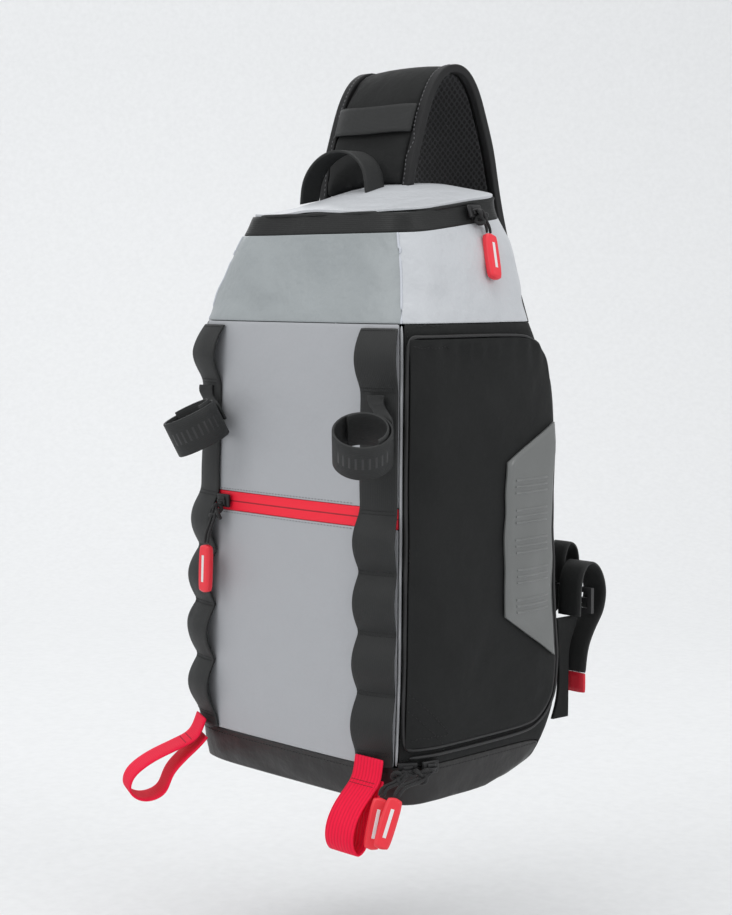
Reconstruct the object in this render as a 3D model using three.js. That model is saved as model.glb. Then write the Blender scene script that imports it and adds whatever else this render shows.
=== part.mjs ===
// A fishing tackle sling bag: a hollow bag of cloth panels with a zipped yoke, a side pocket,
// two front columns of looped webbing, tool rings, lash loops and one padded shoulder strap.
// Millimetres. X is to the right seen from the front, Y to the back, Z up.
import * as THREE from "three";

// Driving sizes of the body
const BODY_WIDTH = 222;
const FRONT_DEPTH = 72;
const BACK_DEPTH = 106;
const SEAM_HEIGHT = 311;
const YOKE_HEIGHT = 74;
const SQUARENESS = 6;
const BASE_HEIGHT = 26;
const BASE_BACK = 4;
const FLAP_RISE = 11;
const FLAP_CROWN = 11;
const FLAP_LEAN = 0.45;
const CLOTH = 2;
const GAP = 0.3;

// Sizes of the front and its zip
const ZIP_HEIGHT = 187;
const ZIP_WIDTH = 13;
const TOP_ZIP = 13;
const PIPING = 1.3;

// Sizes of the side pocket
const DOOR_LOW = BASE_HEIGHT + 14;
const DOOR_HIGH = 301;
const DOOR_CORNER = 26;
const DOOR_FRONT = 5;
const DOOR_BACK = 8;
const DOOR_TAPER = 16;
const DOOR_THICK = 3;
const DOOR_SEAT = 0.6;
const PATCH_THICK = 1.5;
const PATCH_LENGTH = 50;
const PATCH_INSET = 4;

// Sizes of webbing, loops and rings
const WEBBING = 1.8;
const COLUMN_WIDTH = 27;
const COLUMN_TOP = 308;
const TACK_PITCH = 39;
const LOOP_BULGE = 8;
const RING_RADIUS = 19.5;
const RING_HEIGHT = 25;
const TAB_WIDTH = 14;
const TAB_SEAT = 1.3;
const LASH_WIDTH = 25;

// Sizes of the shoulder strap and what is on it
const STRAP_WIDTH = 90;
const STRAP_THICK = 9;
const STRAP_SIDE = -34;
const STRAP_FOOT = 40;
const STRAP_SPAN = 93;
const STRAP_RISE = 84;
const STRAP_STEPS = 24;
const LINING = 1.5;
const BINDING = 7;
const HANDLE_WIDTH = 18;
const HANDLE_RISE = 29;
const HANDLE_SPAN = 66;
const HANDLE_SIDE = -38;
const HANDLE_BACK = 20;
const PAD_THICK = 10;
const PAD_INSET = 10;

// Sizes of the zip pulls
const GRIP = { width: 11, length: 33, thick: 6 };
const SLIDER = { width: 9, length: 13, thick: 5, seat: 0.8 };
const CORD_RADIUS = 1.3;

// The body's sections, as shares: rise of the seam height, then half width, front and back depth
const BODY_ROWS = [
  { rise: 0, wide: 0.937, front: 0.89, back: 0.34 },
  { rise: 0.02, wide: 0.955, front: 0.93, back: 0.6 },
  { rise: 0.045, wide: 0.964, front: 0.96, back: 0.79 },
  { rise: 0.09, wide: 0.973, front: 0.985, back: 0.93 },
  { rise: 0.16, wide: 0.991, front: 1, back: 1 },
  { rise: 0.29, wide: 1, front: 0.985, back: 0.98 },
  { rise: 0.42, wide: 0.995, front: 0.97, back: 0.945 },
  { rise: 0.56, wide: 0.986, front: 0.945, back: 0.925 },
  { rise: 0.71, wide: 0.977, front: 0.93, back: 0.915 },
  { rise: 0.84, wide: 0.973, front: 0.915, back: 0.905 },
  { rise: 0.93, wide: 0.968, front: 0.9, back: 0.85 },
  { rise: 1, wide: 0.955, front: 0.875, back: 0.7 },
];

// The yoke's sections above the seam, as shares of its height and of the same widths and depths
const YOKE_ROWS = [
  { rise: 0.4, wide: 0.868, front: 0.735, back: 0.67 },
  { rise: 0.72, wide: 0.777, front: 0.64, back: 0.68 },
  { rise: 0.9, wide: 0.726, front: 0.585, back: 0.66 },
  { rise: 1, wide: 0.7, front: 0.555, back: 0.62 },
];

const LEVELS = [
  ...BODY_ROWS.map((row) => ({ ...row, z: row.rise * SEAM_HEIGHT })),
  ...YOKE_ROWS.map((row) => ({ ...row, z: SEAM_HEIGHT + row.rise * YOKE_HEIGHT })),
];
const RIM_HEIGHT = SEAM_HEIGHT + YOKE_HEIGHT;

const COLORS = {
  panel: 0xa9abaf,
  yoke: 0x9aa0a2,
  pale: 0xc8cbd0,
  black: 0x2f3030,
  coated: 0x3a3a39,
  rubber: 0x6e6e6c,
  red: 0xd0103a,
  grip: 0xf03a45,
  mesh: 0x1c1c1c,
  metal: 0x1a1a1a,
};

const bag = new THREE.Group();

function finish(color, roughness, metalness = 0) {
  return new THREE.MeshStandardMaterial({ color, roughness, metalness });
}

function add(name, geometry, color, roughness = 0.8, metalness = 0) {
  const mesh = new THREE.Mesh(geometry, finish(color, roughness, metalness));
  mesh.name = name;
  bag.add(mesh);
  return mesh;
}

function mix(a, b, share) {
  return a + (b - a) * share;
}

function smooth(share) {
  const t = Math.min(1, Math.max(0, share));
  return t * t * (3 - 2 * t);
}

// One value of the section table at a height, on a smooth curve through its rows
function sectionValue(key, z) {
  const last = LEVELS.length - 1;
  if (z <= LEVELS[0].z) return LEVELS[0][key];
  if (z >= LEVELS[last].z) return LEVELS[last][key];
  const i = LEVELS.findIndex((row) => row.z > z) - 1;
  const slope = (k) => {
    const a = LEVELS[Math.max(0, k - 1)];
    const b = LEVELS[Math.min(last, k + 1)];
    return (b[key] - a[key]) / (b.z - a.z);
  };
  const a = LEVELS[i];
  const b = LEVELS[i + 1];
  const step = b.z - a.z;
  const t = (z - a.z) / step;
  const bend = t * (1 - t) * step * ((1 - t) * slope(i) - t * slope(i + 1));
  return mix(a[key], b[key], smooth(t)) + bend;
}

// The plan outline at a height: points from the back centre round by the left, front and right
const OUTLINE_STEPS = 240;
const outlines = new Map();
function outline(z) {
  const key = Math.round(z * 100);
  if (outlines.has(key)) return outlines.get(key);
  const half = (BODY_WIDTH / 2) * sectionValue("wide", z);
  const front = -FRONT_DEPTH * sectionValue("front", z);
  const back = BACK_DEPTH * sectionValue("back", z);
  const depth = (back - front) / 2;
  const power = 2 / SQUARENESS;
  const points = [];
  const lengths = [0];
  for (let i = 0; i <= OUTLINE_STEPS; i++) {
    const turn = Math.PI * ((2 * i) / OUTLINE_STEPS - 1);
    const x = half * Math.sign(Math.sin(turn)) * Math.abs(Math.sin(turn)) ** power;
    const y = -depth * Math.sign(Math.cos(turn)) * Math.abs(Math.cos(turn)) ** power;
    points.push(new THREE.Vector2(x, (front + back) / 2 + y));
    if (i) lengths.push(lengths[i - 1] + points[i].distanceTo(points[i - 1]));
  }
  const middle = lengths[OUTLINE_STEPS / 2];
  const found = { points, lengths, middle, total: lengths[OUTLINE_STEPS] };
  outlines.set(key, found);
  return found;
}

// Where a corner lies, as a length round the outline from the front centre: 1 is front, 3 back
function corner(side, z) {
  const { lengths, middle } = outline(z);
  const step = (OUTLINE_STEPS / 8) * Math.abs(side);
  return Math.sign(side) * (lengths[OUTLINE_STEPS / 2 + step] - middle);
}

// The step of the outline that a length falls in, with the share of that step
function stepAt(along, z) {
  const { lengths, middle, total } = outline(z);
  const rounds = Math.floor((along + middle) / total);
  const at = along + middle - rounds * total;
  let low = 0;
  let high = OUTLINE_STEPS;
  while (high - low > 1) {
    const half = (low + high) >> 1;
    if (lengths[half] > at) high = half;
    else low = half;
  }
  return low + (at - lengths[low]) / (lengths[high] - lengths[low]) + rounds * OUTLINE_STEPS;
}

// The length at a step, so that a row of points can lie closer together round a corner
function lengthAt(step, z) {
  const { lengths, middle, total } = outline(z);
  const rounds = Math.floor(step / OUTLINE_STEPS);
  const at = step - rounds * OUTLINE_STEPS;
  const low = Math.min(OUTLINE_STEPS - 1, Math.floor(at));
  return mix(lengths[low], lengths[low + 1], at - low) - middle + rounds * total;
}

// A length between two others at the same height, at a share of the turn from one to the other
function between(from, to, z, share) {
  return lengthAt(mix(stepAt(from, z), stepAt(to, z), share), z);
}

function onOutline(along, z) {
  const { points } = outline(z);
  const step = stepAt(along, z);
  const low = Math.floor(step);
  const [a, b] = [low, low + 1].map((k) => points[((k % OUTLINE_STEPS) + OUTLINE_STEPS) % OUTLINE_STEPS]);
  const flat = a.clone().lerp(b, step - low);
  return new THREE.Vector3(flat.x, flat.y, z);
}

// A point on the bag's outer skin, moved out along the skin's own normal
const PROBE = 1.5;
function skin(along, z, out = 0) {
  const point = onOutline(along, z);
  if (!out) return point;
  const side = onOutline(along + PROBE, z).sub(onOutline(along - PROBE, z));
  const rise = onOutline(along, z + PROBE).sub(onOutline(along, Math.max(0, z - PROBE)));
  const normal = side.cross(rise).normalize();
  return point.addScaledVector(normal, out);
}

// The height of the lid at a place on its plan
function lidHeight(x, y) {
  const front = -FRONT_DEPTH * sectionValue("front", RIM_HEIGHT);
  const back = BACK_DEPTH * sectionValue("back", RIM_HEIGHT);
  const half = (BODY_WIDTH / 2) * sectionValue("wide", RIM_HEIGHT);
  const rise = smooth((y - front) / (back - front));
  const share = Math.max(-1, Math.min(1, x / half));
  const crown = (1 - share ** 2) * (1 - FLAP_LEAN * share) * Math.sqrt(rise);
  return RIM_HEIGHT + rise * FLAP_RISE + FLAP_CROWN * crown;
}

function rimTop(along) {
  const point = onOutline(along, RIM_HEIGHT);
  return lidHeight(point.x, point.y) - CLOTH - 2 * GAP;
}

// The top edge of the coated base at a number of eighth turns, which drops away under the back
const BASE_DROP = { start: 2.25, end: 2.9 };
function baseTop(turn) {
  const drop = smooth((Math.abs(turn) - BASE_DROP.start) / (BASE_DROP.end - BASE_DROP.start));
  return mix(BASE_HEIGHT, BASE_BACK, drop);
}

// A closed solid from its corner points and faces, turned so that its faces look outwards
function solid(points, faces) {
  let volume = 0;
  for (let i = 0; i < faces.length; i += 3) {
    const [a, b, c] = [points[faces[i]], points[faces[i + 1]], points[faces[i + 2]]];
    volume += a.dot(b.clone().cross(c));
  }
  const turned = volume < 0 ? [...faces].reverse() : faces;
  const geometry = new THREE.BufferGeometry().setFromPoints(points);
  geometry.setIndex(turned);
  geometry.computeVertexNormals();
  return geometry;
}

// A closed sheet between an outer and an inner grid of points; a ring joins its last row to its first
function slab(rows, cols, outer, inner, ring = false) {
  const points = [];
  const rowCount = ring ? rows : rows + 1;
  for (const face of [outer, inner])
    for (let i = 0; i < rowCount; i++)
      for (let j = 0; j <= cols; j++) points.push(face(i / rows, j / cols));
  const at = (face, i, j) => (face * rowCount + (i % rowCount)) * (cols + 1) + j;
  const faces = [];
  const quad = (a, b, c, d) => faces.push(a, b, c, a, c, d);
  for (let i = 0; i < rows; i++) {
    for (let j = 0; j < cols; j++) {
      quad(at(0, i, j), at(0, i, j + 1), at(0, i + 1, j + 1), at(0, i + 1, j));
      quad(at(1, i, j), at(1, i + 1, j), at(1, i + 1, j + 1), at(1, i, j + 1));
    }
    quad(at(0, i, 0), at(0, i + 1, 0), at(1, i + 1, 0), at(1, i, 0));
    quad(at(0, i, cols), at(1, i, cols), at(1, i + 1, cols), at(0, i + 1, cols));
  }
  if (!ring)
    for (let j = 0; j < cols; j++) {
      quad(at(0, 0, j), at(1, 0, j), at(1, 0, j + 1), at(0, 0, j + 1));
      quad(at(0, rows, j), at(0, rows, j + 1), at(1, rows, j + 1), at(1, rows, j));
    }
  return solid(points, faces);
}

// A cloth panel on the skin: from and to are lengths at a height, low and high heights at a share
function panel({ from, to, low, high, out = 0, thick = CLOTH, rows, cols, rise = (r) => r }) {
  const place = (depth) => (r, c) => {
    const z = mix(low(c), high(c), rise(r));
    return skin(between(from(z), to(z), z, c), z, depth);
  };
  return slab(rows, cols, place(out), place(out - thick));
}

// A strap of webbing along a curve, its width lying along the vector across
function band({ path, across, width, thick = WEBBING, steps, cols = 1, seated = false }) {
  const curve = new THREE.CatmullRomCurve3(path);
  const widths = typeof width === "function" ? width : () => width;
  const side = typeof across === "function" ? across : () => across;
  const place = (face) => (r, c) => {
    const wide = side(r).clone().normalize();
    const normal = curve.getTangent(r).cross(wide).normalize();
    const point = curve
      .getPoint(r)
      .addScaledVector(wide, widths(r) * (c - 0.5))
      .addScaledVector(normal, (face * thick) / 2);
    return seated && (r === 0 || r === 1) ? seatOnLid(point) : point;
  };
  return slab(steps, cols, place(1), place(-1));
}

function tube(path, radius, steps, sides = 6) {
  const shape = new THREE.Shape();
  for (let i = 0; i < sides; i++) {
    const turn = (2 * Math.PI * i) / sides;
    const method = i ? "lineTo" : "moveTo";
    shape[method](radius * Math.cos(turn), radius * Math.sin(turn));
  }
  const extrudePath = new THREE.CatmullRomCurve3(path);
  return new THREE.ExtrudeGeometry(shape, { steps, extrudePath, bevelEnabled: false });
}

// A block with round ends in its plan and a small bevel, its middle at the origin
function pill(width, length, thick, bevel) {
  const shape = new THREE.Shape();
  const radius = Math.min(width, length) * 0.3;
  const [w, l] = [width / 2 - bevel, length / 2 - bevel];
  shape.moveTo(-w + radius, -l);
  shape.lineTo(w - radius, -l);
  shape.quadraticCurveTo(w, -l, w, -l + radius);
  shape.lineTo(w, l - radius);
  shape.quadraticCurveTo(w, l, w - radius, l);
  shape.lineTo(-w + radius, l);
  shape.quadraticCurveTo(-w, l, -w, l - radius);
  shape.lineTo(-w, -l + radius);
  shape.quadraticCurveTo(-w, -l, -w + radius, -l);
  const depth = thick - 2 * bevel;
  const options = { depth, bevelThickness: bevel, bevelSize: bevel, bevelSegments: 1 };
  const geometry = new THREE.ExtrudeGeometry(shape, { ...options, curveSegments: 2 });
  return geometry.translate(0, 0, -depth / 2);
}

// The coated base: a tray whose wall stops at the base's top edge
function baseTray() {
  const around = 40;
  const wallRows = 3;
  const ringPoint = (depth, floor) => (k, share) => {
    const step = (k / around) * OUTLINE_STEPS;
    const z = mix(floor, baseTop((8 * k) / around - 4), 1 - share);
    return skin(lengthAt(step, z), z, depth);
  };
  const outer = ringPoint(0, 0);
  const inner = ringPoint(-CLOTH, CLOTH);
  const points = [];
  for (const face of [outer, inner])
    for (let r = 0; r <= wallRows; r++)
      for (let k = 0; k < around; k++) points.push(face(k, r / wallRows));
  const mid = points.length;
  points.push(new THREE.Vector3(0, 0, 0), new THREE.Vector3(0, 0, CLOTH));
  const at = (face, r, k) => (face * (wallRows + 1) + r) * around + (k % around);
  const faces = [];
  const quad = (a, b, c, d) => faces.push(a, b, c, a, c, d);
  for (let k = 0; k < around; k++) {
    for (let r = 0; r < wallRows; r++) {
      quad(at(0, r, k), at(0, r, k + 1), at(0, r + 1, k + 1), at(0, r + 1, k));
      quad(at(1, r, k), at(1, r + 1, k), at(1, r + 1, k + 1), at(1, r, k + 1));
    }
    quad(at(0, 0, k), at(1, 0, k), at(1, 0, k + 1), at(0, 0, k + 1));
    faces.push(at(0, wallRows, k), at(0, wallRows, k + 1), mid);
    faces.push(at(1, wallRows, k), mid + 1, at(1, wallRows, k + 1));
  }
  return solid(points, faces);
}

// The body's walls
const frontEdge = (side, inset) => (z) => corner(side, z) - Math.sign(side) * inset;
const fixed = (value) => () => value;
const EDGE = PIPING + GAP;

function frontPanel(low, high, rows) {
  const from = frontEdge(-1, EDGE);
  const to = frontEdge(1, EDGE);
  return panel({ from, to, low: fixed(low), high: fixed(high), rows, cols: 10 });
}

function addFront() {
  const zipLow = ZIP_HEIGHT - ZIP_WIDTH / 2;
  const zipHigh = ZIP_HEIGHT + ZIP_WIDTH / 2;
  add("front_panel_upper", frontPanel(zipHigh + GAP, SEAM_HEIGHT - GAP, 6), COLORS.panel, 0.5);
  add("front_panel_lower", frontPanel(BASE_HEIGHT + GAP, zipLow - GAP, 7), COLORS.panel, 0.5);
  add("front_zip", frontPanel(zipLow, zipHigh, 2), COLORS.red, 0.6);
  for (const [name, side] of [["right", 1], ["left", -1]]) {
    const low = BASE_HEIGHT + 2 * GAP;
    const path = [];
    for (let i = 0; i <= 12; i++) {
      const z = mix(low, SEAM_HEIGHT - 2 * GAP, i / 12);
      path.push(skin(corner(side, z), z));
    }
    add("corner_piping_" + name, tube(path, PIPING, 12), COLORS.pale, 0.5);
  }
}

const WALL_ROWS = 10;

function sideWall(side) {
  const from = side > 0 ? frontEdge(1, -EDGE) : frontEdge(-3, GAP);
  const to = side > 0 ? frontEdge(3, GAP) : frontEdge(-1, -EDGE);
  const low = (c) => baseTop(side > 0 ? 1 + 2 * c : 3 - 2 * c) + GAP;
  return panel({ from, to, low, high: fixed(SEAM_HEIGHT - GAP), rows: WALL_ROWS, cols: 10 });
}

const backFrom = frontEdge(3, -GAP);
const backTo = (z) => outline(z).total - corner(3, z) - GAP;

function backWall() {
  const size = { from: backFrom, to: backTo, high: fixed(SEAM_HEIGHT - GAP), rows: WALL_ROWS, cols: 10 };
  return panel({ ...size, low: fixed(BASE_BACK + GAP) });
}

function backPad() {
  const from = frontEdge(3, -PAD_INSET);
  const to = (z) => outline(z).total - corner(3, z) - PAD_INSET;
  const foot = BASE_BACK + GAP;
  const high = SEAM_HEIGHT - GAP;
  const low = mix(foot, high, 1 / WALL_ROWS);
  const seat = 2.5 * GAP;
  const place = (crowned) => (r, c) => {
    const z = mix(low, high, r);
    const crown = (1 - (2 * r - 1) ** 4) * (1 - (2 * c - 1) ** 4);
    const depth = seat + crowned * (CLOTH + (PAD_THICK - CLOTH) * crown);
    return skin(between(from(z), to(z), z, c), z, depth);
  };
  return slab(WALL_ROWS - 1, 8, place(1), place(0));
}

// The yoke: three slanting panels under the top zip
const zipFoot = (along) => rimTop(along) - TOP_ZIP;

function yokePanel(from, to, cols, top = zipFoot) {
  const high = (c) => top(between(from(RIM_HEIGHT), to(RIM_HEIGHT), RIM_HEIGHT, c)) - GAP;
  return panel({ from, to, low: fixed(SEAM_HEIGHT + GAP), high, rows: 6, cols });
}

function addYoke() {
  add("yoke_front", yokePanel(frontEdge(-1, GAP), frontEdge(1, GAP), 10), COLORS.yoke, 0.5);
  add("yoke_right", yokePanel(frontEdge(1, -GAP), frontEdge(3, GAP), 8), COLORS.pale, 0.5);
  add("yoke_left", yokePanel(frontEdge(-3, GAP), frontEdge(-1, -GAP), 8), COLORS.pale, 0.5);
  add("yoke_back", yokePanel(backFrom, backTo, 8, rimTop), COLORS.black);
  const from = frontEdge(-3, GAP);
  const to = frontEdge(3, GAP);
  const place = (edge) => (c) => edge(between(from(RIM_HEIGHT), to(RIM_HEIGHT), RIM_HEIGHT, c));
  const tape = panel({ from, to, low: place(zipFoot), high: place(rimTop), rows: 2, cols: 26 });
  add("top_zip", tape, COLORS.black);
  add("top_flap", topFlap(), COLORS.pale, 0.5);
}

function topFlap() {
  const front = -FRONT_DEPTH * sectionValue("front", RIM_HEIGHT);
  const back = BACK_DEPTH * sectionValue("back", RIM_HEIGHT);
  const half = (BODY_WIDTH / 2) * sectionValue("wide", RIM_HEIGHT);
  const place = (drop) => (r, c) => {
    const [p, q] = [2 * c - 1, 2 * r - 1];
    const norm = (Math.abs(p) ** SQUARENESS + Math.abs(q) ** SQUARENESS) ** (1 / SQUARENESS);
    const pull = norm ? Math.max(Math.abs(p), Math.abs(q)) / norm : 0;
    const x = half * p * pull;
    const y = mix(front, back, (q * pull + 1) / 2);
    return new THREE.Vector3(x, y, lidHeight(x, y) - drop);
  };
  return slab(8, 10, place(0), place(CLOTH));
}

// The side pocket's door, its piping and the moulded patch on it
function doorInset(z) {
  const over = Math.max(0, z - (DOOR_HIGH - DOOR_CORNER), DOOR_LOW + DOOR_CORNER - z);
  return DOOR_CORNER - Math.sqrt(DOOR_CORNER ** 2 - Math.min(over, DOOR_CORNER) ** 2);
}
// The door's rear edge, which stands further from the back towards its foot
function doorRear(z) {
  const share = (DOOR_HIGH - z) / (DOOR_HIGH - DOOR_LOW);
  return corner(3, z) - DOOR_BACK - DOOR_TAPER * share;
}
const doorFront = frontEdge(1, -DOOR_FRONT);
const doorBack = (z) => doorRear(z) - doorInset(z);
const PATCH_ROWS = [
  { reach: 0, low: 0.27, high: 0.781 },
  { reach: 1, low: 0.373, high: 0.704 },
];

// Rows of the door lie closer together where its corners turn
const TURN_ROWS = 4;
const DOOR_ROWS = 14;
function doorRise(r) {
  const row = r * DOOR_ROWS;
  const corner = DOOR_CORNER / (DOOR_HIGH - DOOR_LOW);
  const turned = (k) => corner * (1 - Math.cos((Math.PI / 2) * (k / TURN_ROWS)));
  if (row < TURN_ROWS) return turned(row);
  if (row > DOOR_ROWS - TURN_ROWS) return 1 - turned(DOOR_ROWS - row);
  return mix(corner, 1 - corner, (row - TURN_ROWS) / (DOOR_ROWS - 2 * TURN_ROWS));
}

function addDoor() {
  const low = fixed(DOOR_LOW);
  const high = fixed(DOOR_HIGH);
  const out = DOOR_SEAT + DOOR_THICK;
  const size = { low, high, out, thick: DOOR_THICK, rows: DOOR_ROWS, cols: 8, rise: doorRise };
  add("side_door", panel({ from: doorFront, to: doorBack, ...size }), COLORS.black);
  add("door_piping", edgePiping(GAP), COLORS.black);
  const rearRows = EDGE_ROWS + TURN_ROWS + 2 * EDGE_ROWS;
  add("gusset_piping", edgePiping(DOOR_BACK - 2 * PIPING, 1, rearRows - 1), COLORS.black);
  const [rear, tip] = PATCH_ROWS;
  const to = (z) => doorRear(z) - PATCH_INSET;
  const from = (z) => to(z) - PATCH_LENGTH;
  const middle = (SEAM_HEIGHT * (rear.low + rear.high)) / 2;
  const share = (c) => (between(from(middle), to(middle), middle, c) - from(middle)) / PATCH_LENGTH;
  const patch = {
    from,
    to,
    low: (c) => SEAM_HEIGHT * mix(tip.low, rear.low, share(c)),
    high: (c) => SEAM_HEIGHT * mix(tip.high, rear.high, share(c)),
    out: out + 2 * GAP + PATCH_THICK,
    thick: PATCH_THICK,
  };
  add("grip_patch", panel({ ...patch, rows: 6, cols: 4 }), COLORS.rubber, 0.5);
}

// The line round the door a little way off its edge, as lengths and heights: foot, back, top, front
const EDGE_ROWS = 4;
function doorLine(off) {
  const line = [];
  const [low, high] = [DOOR_LOW - off, DOOR_HIGH + off];
  const radius = DOOR_CORNER + off;
  const rear = (z) => doorRear(z) + off;
  const front = (z) => corner(1, z) + DOOR_FRONT - off;
  const bend = (z, way, k) => {
    const angle = (Math.PI / 2) * (k / TURN_ROWS);
    const height = z + way * radius * (1 - Math.cos(angle));
    line.push({ along: rear(height) - radius * (1 - Math.sin(angle)), z: height });
  };
  for (let i = 0; i < EDGE_ROWS; i++)
    line.push({ along: between(front(low), rear(low) - radius, low, i / EDGE_ROWS), z: low });
  for (let k = 0; k < TURN_ROWS; k++) bend(low, 1, k);
  for (let i = 0; i < 2 * EDGE_ROWS; i++) {
    const z = mix(low + radius, high - radius, i / (2 * EDGE_ROWS));
    line.push({ along: rear(z), z });
  }
  for (let k = TURN_ROWS; k > 0; k--) bend(high, -1, k);
  for (let i = 0; i < EDGE_ROWS; i++)
    line.push({ along: between(rear(high) - radius, front(high), high, i / EDGE_ROWS), z: high });
  for (let i = 0; i < 2 * EDGE_ROWS; i++) {
    const z = mix(high, low, i / (2 * EDGE_ROWS));
    line.push({ along: front(z), z });
  }
  return line;
}

// A square piping along that line: the whole of it as a ring, or a stretch of it between two rows
function edgePiping(off, start = 0, count = 0) {
  const edges = [doorLine(off), doorLine(off + 2 * PIPING)];
  const total = edges[0].length;
  const rows = count || total;
  const place = (out) => (r, c) => {
    const { along, z } = edges[c][(start + Math.round(r * rows)) % total];
    return skin(along, z, out);
  };
  const seat = DOOR_SEAT;
  return slab(rows, 1, place(seat + 2 * PIPING), place(seat), !count);
}

// A column of webbing, tacked down at every pitch and standing off in a loop between two tacks
const LOOPS = [
  { bulge: 1 },
  { bulge: 0.05 },
  { bulge: 0.05 },
  { bulge: 1 },
  { bulge: 0.95 },
  { bulge: 1 },
  { bulge: 0.9 },
];
const COLUMN_FOOT = COLUMN_TOP - LOOPS.length * TACK_PITCH;
const COLUMN_STEPS = 5;

function webbingColumn(side) {
  const rows = LOOPS.length * COLUMN_STEPS;
  const standOff = (r) => {
    const place = Math.min(LOOPS.length, (r * (rows + 1)) / COLUMN_STEPS);
    const loop = LOOPS[Math.min(LOOPS.length - 1, Math.floor(place))];
    return loop.bulge * LOOP_BULGE * Math.abs(Math.sin(Math.PI * place));
  };
  const place = (depth) => (r, c) => {
    const row = Math.round(r * (rows + 1));
    const z = row > rows ? BASE_HEIGHT + 2 * GAP : mix(COLUMN_TOP, COLUMN_FOOT, row / rows);
    const edge = corner(1, z) - EDGE - GAP;
    const along = side * between(edge, edge - COLUMN_WIDTH, z, c);
    return skin(along, z, GAP + depth + standOff(r));
  };
  return slab(rows + 1, 3, place(WEBBING), place(0));
}

// A ring of webbing for a tool, its axis leaning out: its middle is given in shares of the body
const RINGS = {
  right: { side: 0.874, ahead: 1.285, rise: 0.759, lean: 24, tip: 22 },
  left: { side: -0.595, ahead: 1.264, rise: 0.765, lean: 22, tip: -14 },
};

function ringFrame({ side, ahead, rise, lean, tip }) {
  const turn = new THREE.Euler(
    THREE.MathUtils.degToRad(lean),
    THREE.MathUtils.degToRad(tip),
    0,
  );
  const middle = [(side * BODY_WIDTH) / 2, -ahead * FRONT_DEPTH, rise * SEAM_HEIGHT];
  return new THREE.Matrix4().makeRotationFromEuler(turn).setPosition(...middle);
}

function toolRing(name) {
  const frame = ringFrame(RINGS[name]);
  const place = (radius) => (r, c) => {
    const turn = 2 * Math.PI * r;
    const [x, y] = [radius * Math.cos(turn), radius * Math.sin(turn)];
    return new THREE.Vector3(x, y, RING_HEIGHT * (c - 0.5)).applyMatrix4(frame);
  };
  return slab(20, 1, place(RING_RADIUS), place(RING_RADIUS - WEBBING), true);
}

// The short tab that carries a ring, from its tack on the column to the ring's back
function ringTab(name, side) {
  const z = COLUMN_TOP - TACK_PITCH;
  const along = side * (corner(1, z) - EDGE - COLUMN_WIDTH / 2);
  const tack = 2 * GAP + 1.5 * WEBBING + TAB_SEAT;
  const frame = ringFrame(RINGS[name]);
  const behind = RING_RADIUS + WEBBING / 2 + 2 * GAP;
  const onRing = (share) => new THREE.Vector3(0, behind, RING_HEIGHT * share).applyMatrix4(frame);
  const path = [skin(along, z - 3, tack), skin(along, z - 8, tack), onRing(0.35), onRing(-0.1)];
  return band({ path, across: new THREE.Vector3(1, 0, 0), width: TAB_WIDTH, steps: 8 });
}

// A lash loop's side view, as a table: reach forward of the front and drop below the base's edge
const LASH_ROWS = [
  { reach: 0, drop: -8 },
  { reach: 3, drop: 6 },
  { reach: 10, drop: 13 },
  { reach: 19, drop: 21 },
  { reach: 26, drop: 32 },
  { reach: 27, drop: 43 },
  { reach: 22, drop: 50 },
  { reach: 15, drop: 46 },
  { reach: 12, drop: 32 },
  { reach: 7, drop: 21 },
  { reach: 2.6, drop: 13 },
  { reach: -0.6, drop: 6 },
];
const LASH = {
  right: { reach: 1, drop: 1, out: [0, -1], across: [1, 0] },
  left: { reach: 2, drop: 0.95, out: [-0.45, -0.89], across: [0.89, -0.45] },
};

function lashLoop(name, side) {
  const { reach, drop, out, across } = LASH[name];
  const along = side * (corner(1, BASE_HEIGHT) - EDGE - COLUMN_WIDTH / 2);
  const start = skin(along, BASE_HEIGHT, GAP + 3.2 * WEBBING);
  const path = LASH_ROWS.map(
    (row) =>
      new THREE.Vector3(
        start.x + out[0] * row.reach * reach,
        start.y + out[1] * row.reach * reach,
        start.z - row.drop * drop,
      ),
  );
  const wide = new THREE.Vector3(...across, 0);
  return band({ path, across: wide, width: LASH_WIDTH, steps: 26 });
}

// The shoulder strap's middle line: shares of its span and rise, then down behind the back
const STRAP_ROWS = [
  { side: 0, span: 0, rise: 0 },
  { side: 0, span: 0.04, rise: 0.2 },
  { side: 0, span: 0.1, rise: 0.4 },
  { side: 0, span: 0.16, rise: 0.6 },
  { side: 0, span: 0.25, rise: 0.82 },
  { side: 0, span: 0.37, rise: 0.96 },
  { side: 0, span: 0.49, rise: 1 },
  { side: 0, span: 0.61, rise: 0.97 },
  { side: 0, span: 0.72, rise: 0.83 },
  { side: 0, span: 0.8, rise: 0.63 },
  { side: 0.02, span: 0.86, rise: 0.38 },
  { side: 0.05, span: 0.92, rise: 0.05 },
  { side: 0.13, span: 0.98, rise: -0.35 },
  { side: 0.33, span: 0.97, rise: -0.85 },
  { side: 0.6, span: 0.9, rise: -1.4 },
];
const strapBase = lidHeight(STRAP_SIDE, STRAP_FOOT) + GAP;

// What stands on the lid ends on its slope
function seatOnLid(point) {
  return point.setZ(lidHeight(point.x, point.y) + 2 * GAP);
}

function strapPoint(row) {
  const x = STRAP_SIDE + row.side * STRAP_WIDTH;
  return new THREE.Vector3(x, STRAP_FOOT + row.span * STRAP_SPAN, strapBase + row.rise * STRAP_RISE);
}

const strapPath = STRAP_ROWS.map(strapPoint);
const strapCurve = new THREE.CatmullRomCurve3(strapPath);
const strapAcross = (r) => new THREE.Vector3(1, 0, 0.9 * smooth((r - 0.68) / 0.32));
const strapWidth = (r) => STRAP_WIDTH * (1 - 0.25 * smooth((r - 0.7) / 0.3));

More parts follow.
